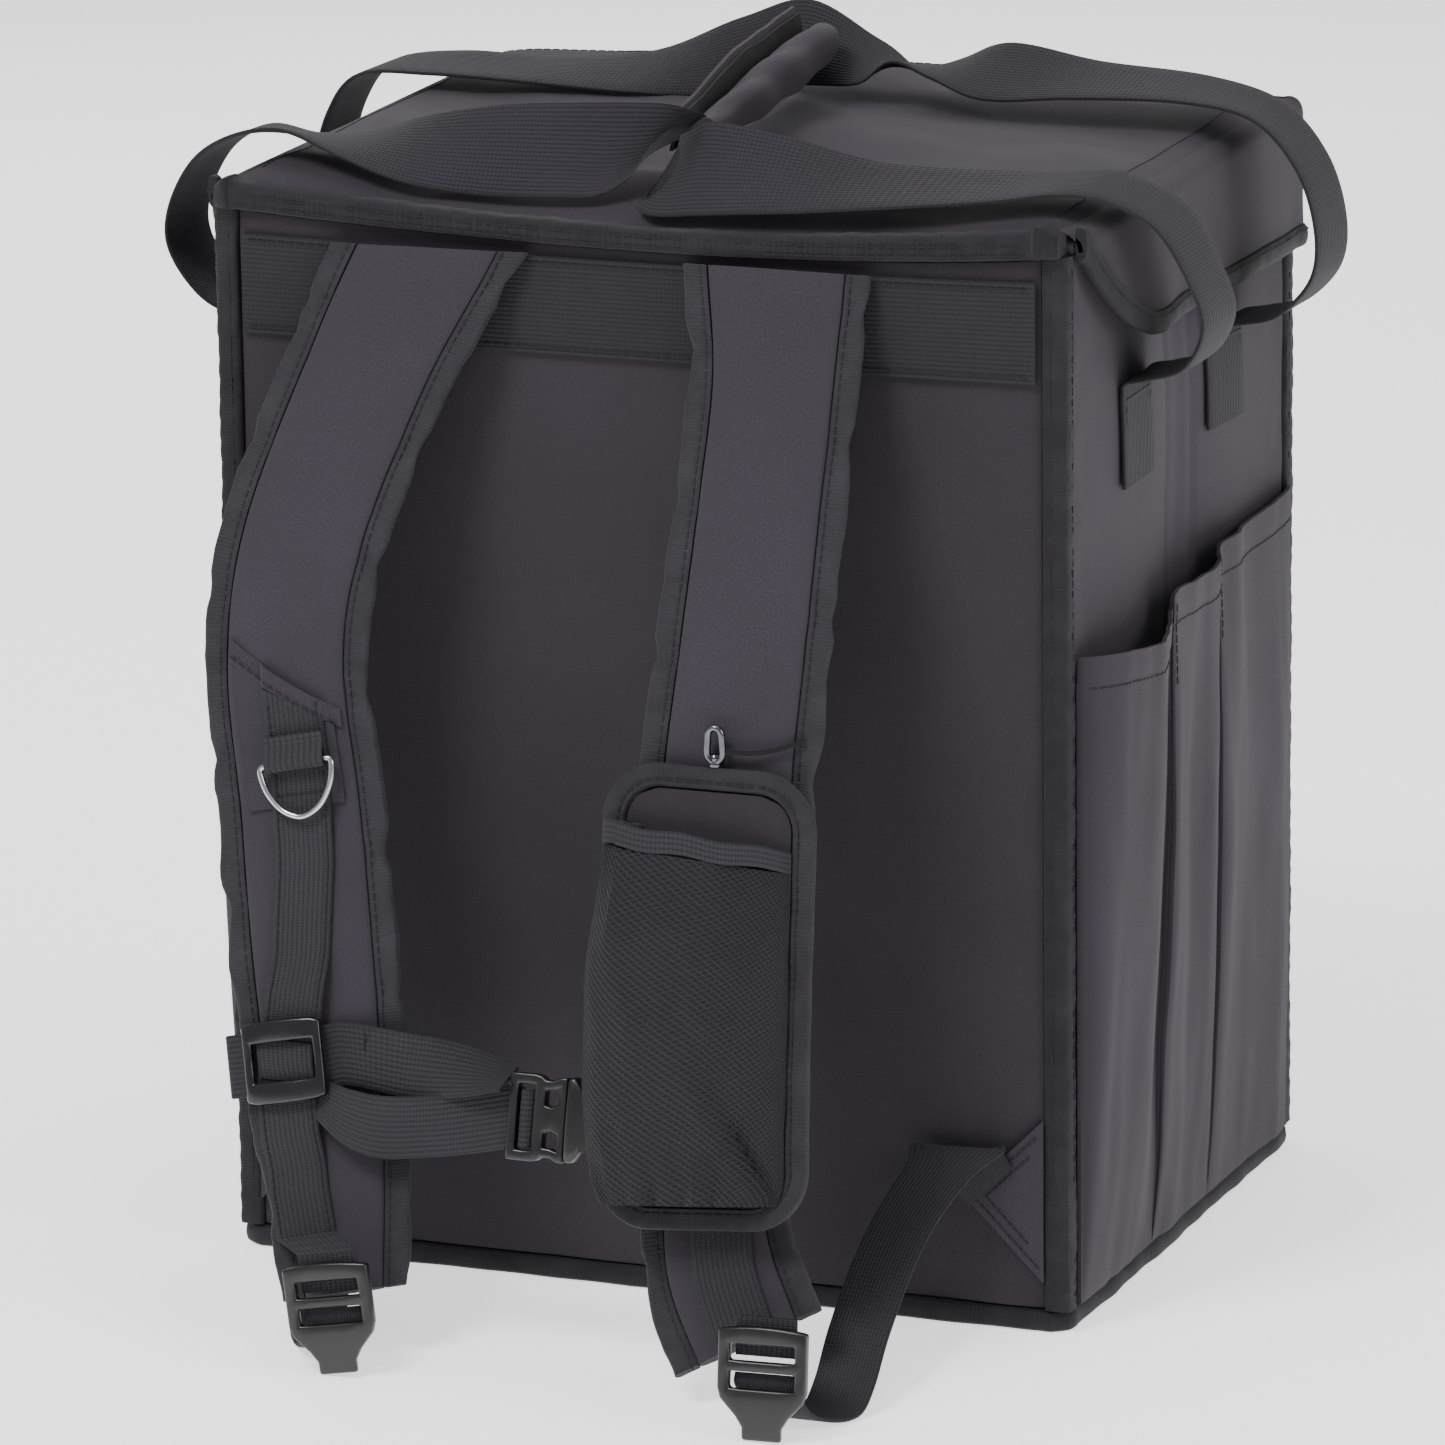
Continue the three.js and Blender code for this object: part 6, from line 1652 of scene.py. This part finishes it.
def make_wrap():
    """The padded sleeve round both handles, open at its top: a standing leaf and a soft roll beside it."""
    near_end = V(0.022 * half_width, -0.69 * half_depth, BODY_HEIGHT + 1.02 * HANDLE_LIFT)
    far_end = V(-0.03 * half_width, 0.44 * half_depth, BODY_HEIGHT + 1.5 * HANDLE_LIFT)

    def body(t, k, n):
        """The roll: a soft tube that narrows at its near end and rounds off at its far one."""
        a = 2 * pi * k / n
        end = sqrt(max(0, 1 - clamp((t - 0.94) / 0.06) ** 2))
        wide = (6.4 + 2.6 * ease(t, 0, 0.5)) * (0.35 + 0.65 * end)
        tall = (8.0 + 3.6 * ease(t, 0, 0.6)) * (0.35 + 0.65 * end)
        dent = 1 + 0.1 * ripple(t * 5, cos(a), sin(a), 61) + 0.07 * sin(t * 21 + a * 2)
        lean = cos(a) * wide * dent
        rise = sin(a) * tall * dent
        return V(7.2 + lean + rise * 0.35, 0, 4 + rise)
    rings = []
    for i in range(65):
        t = i / 64
        spot = near_end.lerp(far_end, t)
        rings.append([spot + body(t, k, 28) for k in range(28)])
    sleeve = swept("handle_sleeve", rings, CLOTH, (WRAP_HEIGHT * 3, 165), ["handle_wrap"],
                   angle=60)
    leaves = (("sleeve_leaf", -5.5, -2, 21, 1.6, 1.0, CLOTH), ("sleeve_grip", -2.6, -1, 18, 1.3, 0.985, GRIP))
    for name, lean, foot, height, thick, run, look in leaves:
        rings = []
        for i in range(65):
            t = i / 64
            spot = near_end.lerp(far_end, t * run)
            outer, inner = [], []
            tall = height * (0.62 + 0.38 * ease(t, 0, 0.55)) * (1 + 0.05 * ripple(t * 8, lean, 0, 63))
            for k in range(10):
                v = k / 9
                x = lean + 1.5 * sin(v * 2.6) - 1.4 * v * v + 0.8 * ripple(t * 6, v * 2, 0, 65) * v
                outer.append(spot + V(x, 0, foot + tall * v))
                inner.append(spot + V(x + thick, 0, foot + tall * v))
            rings.append(outer + inner[::-1])
        swept(name, rings, look, (50, 165), (), angle=60)


make_wrap()

# Side pockets
POCKET_LINE = [
    [-1, 0.03, 0.985], [-0.96, 0.5, 0.985], [-0.82, 0.98, 0.98], [-0.6, 0.95, 0.97], [-0.36, 0.66, 0.985],
    [-0.325, 0.62, 1.01], [-0.1, 0.52, 1.005], [0.1, 0.46, 1], [0.19, 0.42, 1.005], [0.225, 0.3, 1.025],
    [0.5, 0.22, 1.025], [0.8, 0.16, 1.03], [0.96, 0.1, 1.035], [1, 0.03, 1.035],
]
POCKET_FOLD = [0, 0.5, 0.1, 0.35, -0.3, 0.55, 0.2, 0.5, 0.05, 0.6, 0.25, 0.45, 0.3, 0]


def make_pockets():
    table = [row + [fold] for row, fold in zip(POCKET_LINE, POCKET_FOLD)]
    line = smooth(table, 6)
    n = len(line) - 1
    for where, s in SIDES:
        def place(u, v, s=s):
            at, swell, tall, fold = line[round(u * n)]
            y = at * inner_y
            z = lerp(wall_foot + 0.6, POCKET_MOUTH * tall, v)
            belly = swell * v ** 0.7 + fold * hump(v * 0.9 + 0.05) * 0.5
            edge = 1 - abs(at)
            drape = (0.14 * ripple(y * 0.045, z * 0.007, 0, 71 + s)
                     + 0.06 * ripple(y * 0.12, z * 0.02, 0, 73 + s))
            gather = 0.07 * (1 - ease(v, 0, 0.22)) * ripple(y * 0.16, z * 0.02, 3, 75)
            free = max(belly + (drape + gather) * ease(edge, 0.0, 0.12), 0.03)
            base = max(0, side_face(y - 4, z), side_face(y, z), side_face(y + 4, z))
            hem = 0.5 if v > 0.955 else 0
            return V(s * (half_width + base + GAP + 0.2 + free * POCKET_BULGE + POCKET_THICK + hem), y, z)
        bm = net_of(n, 88, place, (inner_y * 2.2, POCKET_MOUTH))
        back_off(bm, V(-s * POCKET_THICK))
        pocket = finish("pocket_" + where, bm, CLOTH, ["side_pocket_" + where])
        cut_size(place, n, 88)
        row = [place(i / n, 0.952) + V(s * 0.2) for i in range(2, n - 1)]
        stitch("pocket_stitches", row, V(s))
        for at in (-0.325, 0.215):
            i = min(range(n + 1), key=lambda k: abs(line[k][0] - at))
            row = [place(i / n, lerp(0.86, 0.985, k / 8)) + V(s * 0.2) for k in range(9)]
            stitch("pocket_stitches", row, V(s))


make_pockets()

for group, bm in seams.items():
    bmesh.ops.recalc_face_normals(bm, faces=bm.faces)
    finish(group, bm, THREAD)


# Floor and light
def lay_floor():
    bm = bmesh.new()
    bmesh.ops.create_grid(bm, x_segments=1, y_segments=1, size=6)
    mesh = bpy.data.meshes.new("studio_floor")
    bm.to_mesh(mesh)
    bm.free()
    floor_piece = bpy.data.objects.new("studio_floor", mesh)
    bpy.context.scene.collection.objects.link(floor_piece)
    paper = Look("studio_paper", Roughness=0.9, Emission_Strength=1.1)
    where = paper.node("ShaderNodeTexCoord").outputs["Object"]
    paper.set("Base Color", paper.tint(paper.blotch(where, 3), (0.88, 0.88, 0.88), (0.92, 0.92, 0.92)))
    paper.set("Emission Color", paper.tint(paper.blotch(where, 2), (0.98, 0.98, 0.98), (1, 1, 1)))
    mesh.materials.append(paper.material)


def add_lamp(name, spot, aim, size, power):
    data = bpy.data.lights.new(name, "AREA")
    data.shape = "RECTANGLE"
    data.size, data.size_y = size
    data.energy = power
    lamp = bpy.data.objects.new(name, data)
    back = (V(*spot) - V(*aim)).normalized()
    lamp.matrix_world = Matrix.Translation(spot) @ back.to_track_quat("Z", "Y").to_matrix().to_4x4()
    bpy.context.scene.collection.objects.link(lamp)


lay_floor()
add_lamp("over_front", (-0.6, -1.6, 2.4), (0, -0.1, 0.25), (0.9, 0.9), 58)
add_lamp("side", (2.5, -0.7, 1.3), (0.1, 0, 0.2), (1.3, 1.3), 32)
add_lamp("top", (0.2, 0.6, 2.4), (0, 0, 0.4), (1.4, 1.4), 14)
add_lamp("rear", (-1.6, 2.2, 1.4), (0, 0, 0.3), (1.2, 1.2), 18)
world = bpy.data.worlds.new("studio")
bpy.context.scene.world = world
world.use_nodes = True
world.node_tree.nodes["Background"].inputs[0].default_value = (1, 1, 1, 1)
world.node_tree.nodes["Background"].inputs[1].default_value = 0.5
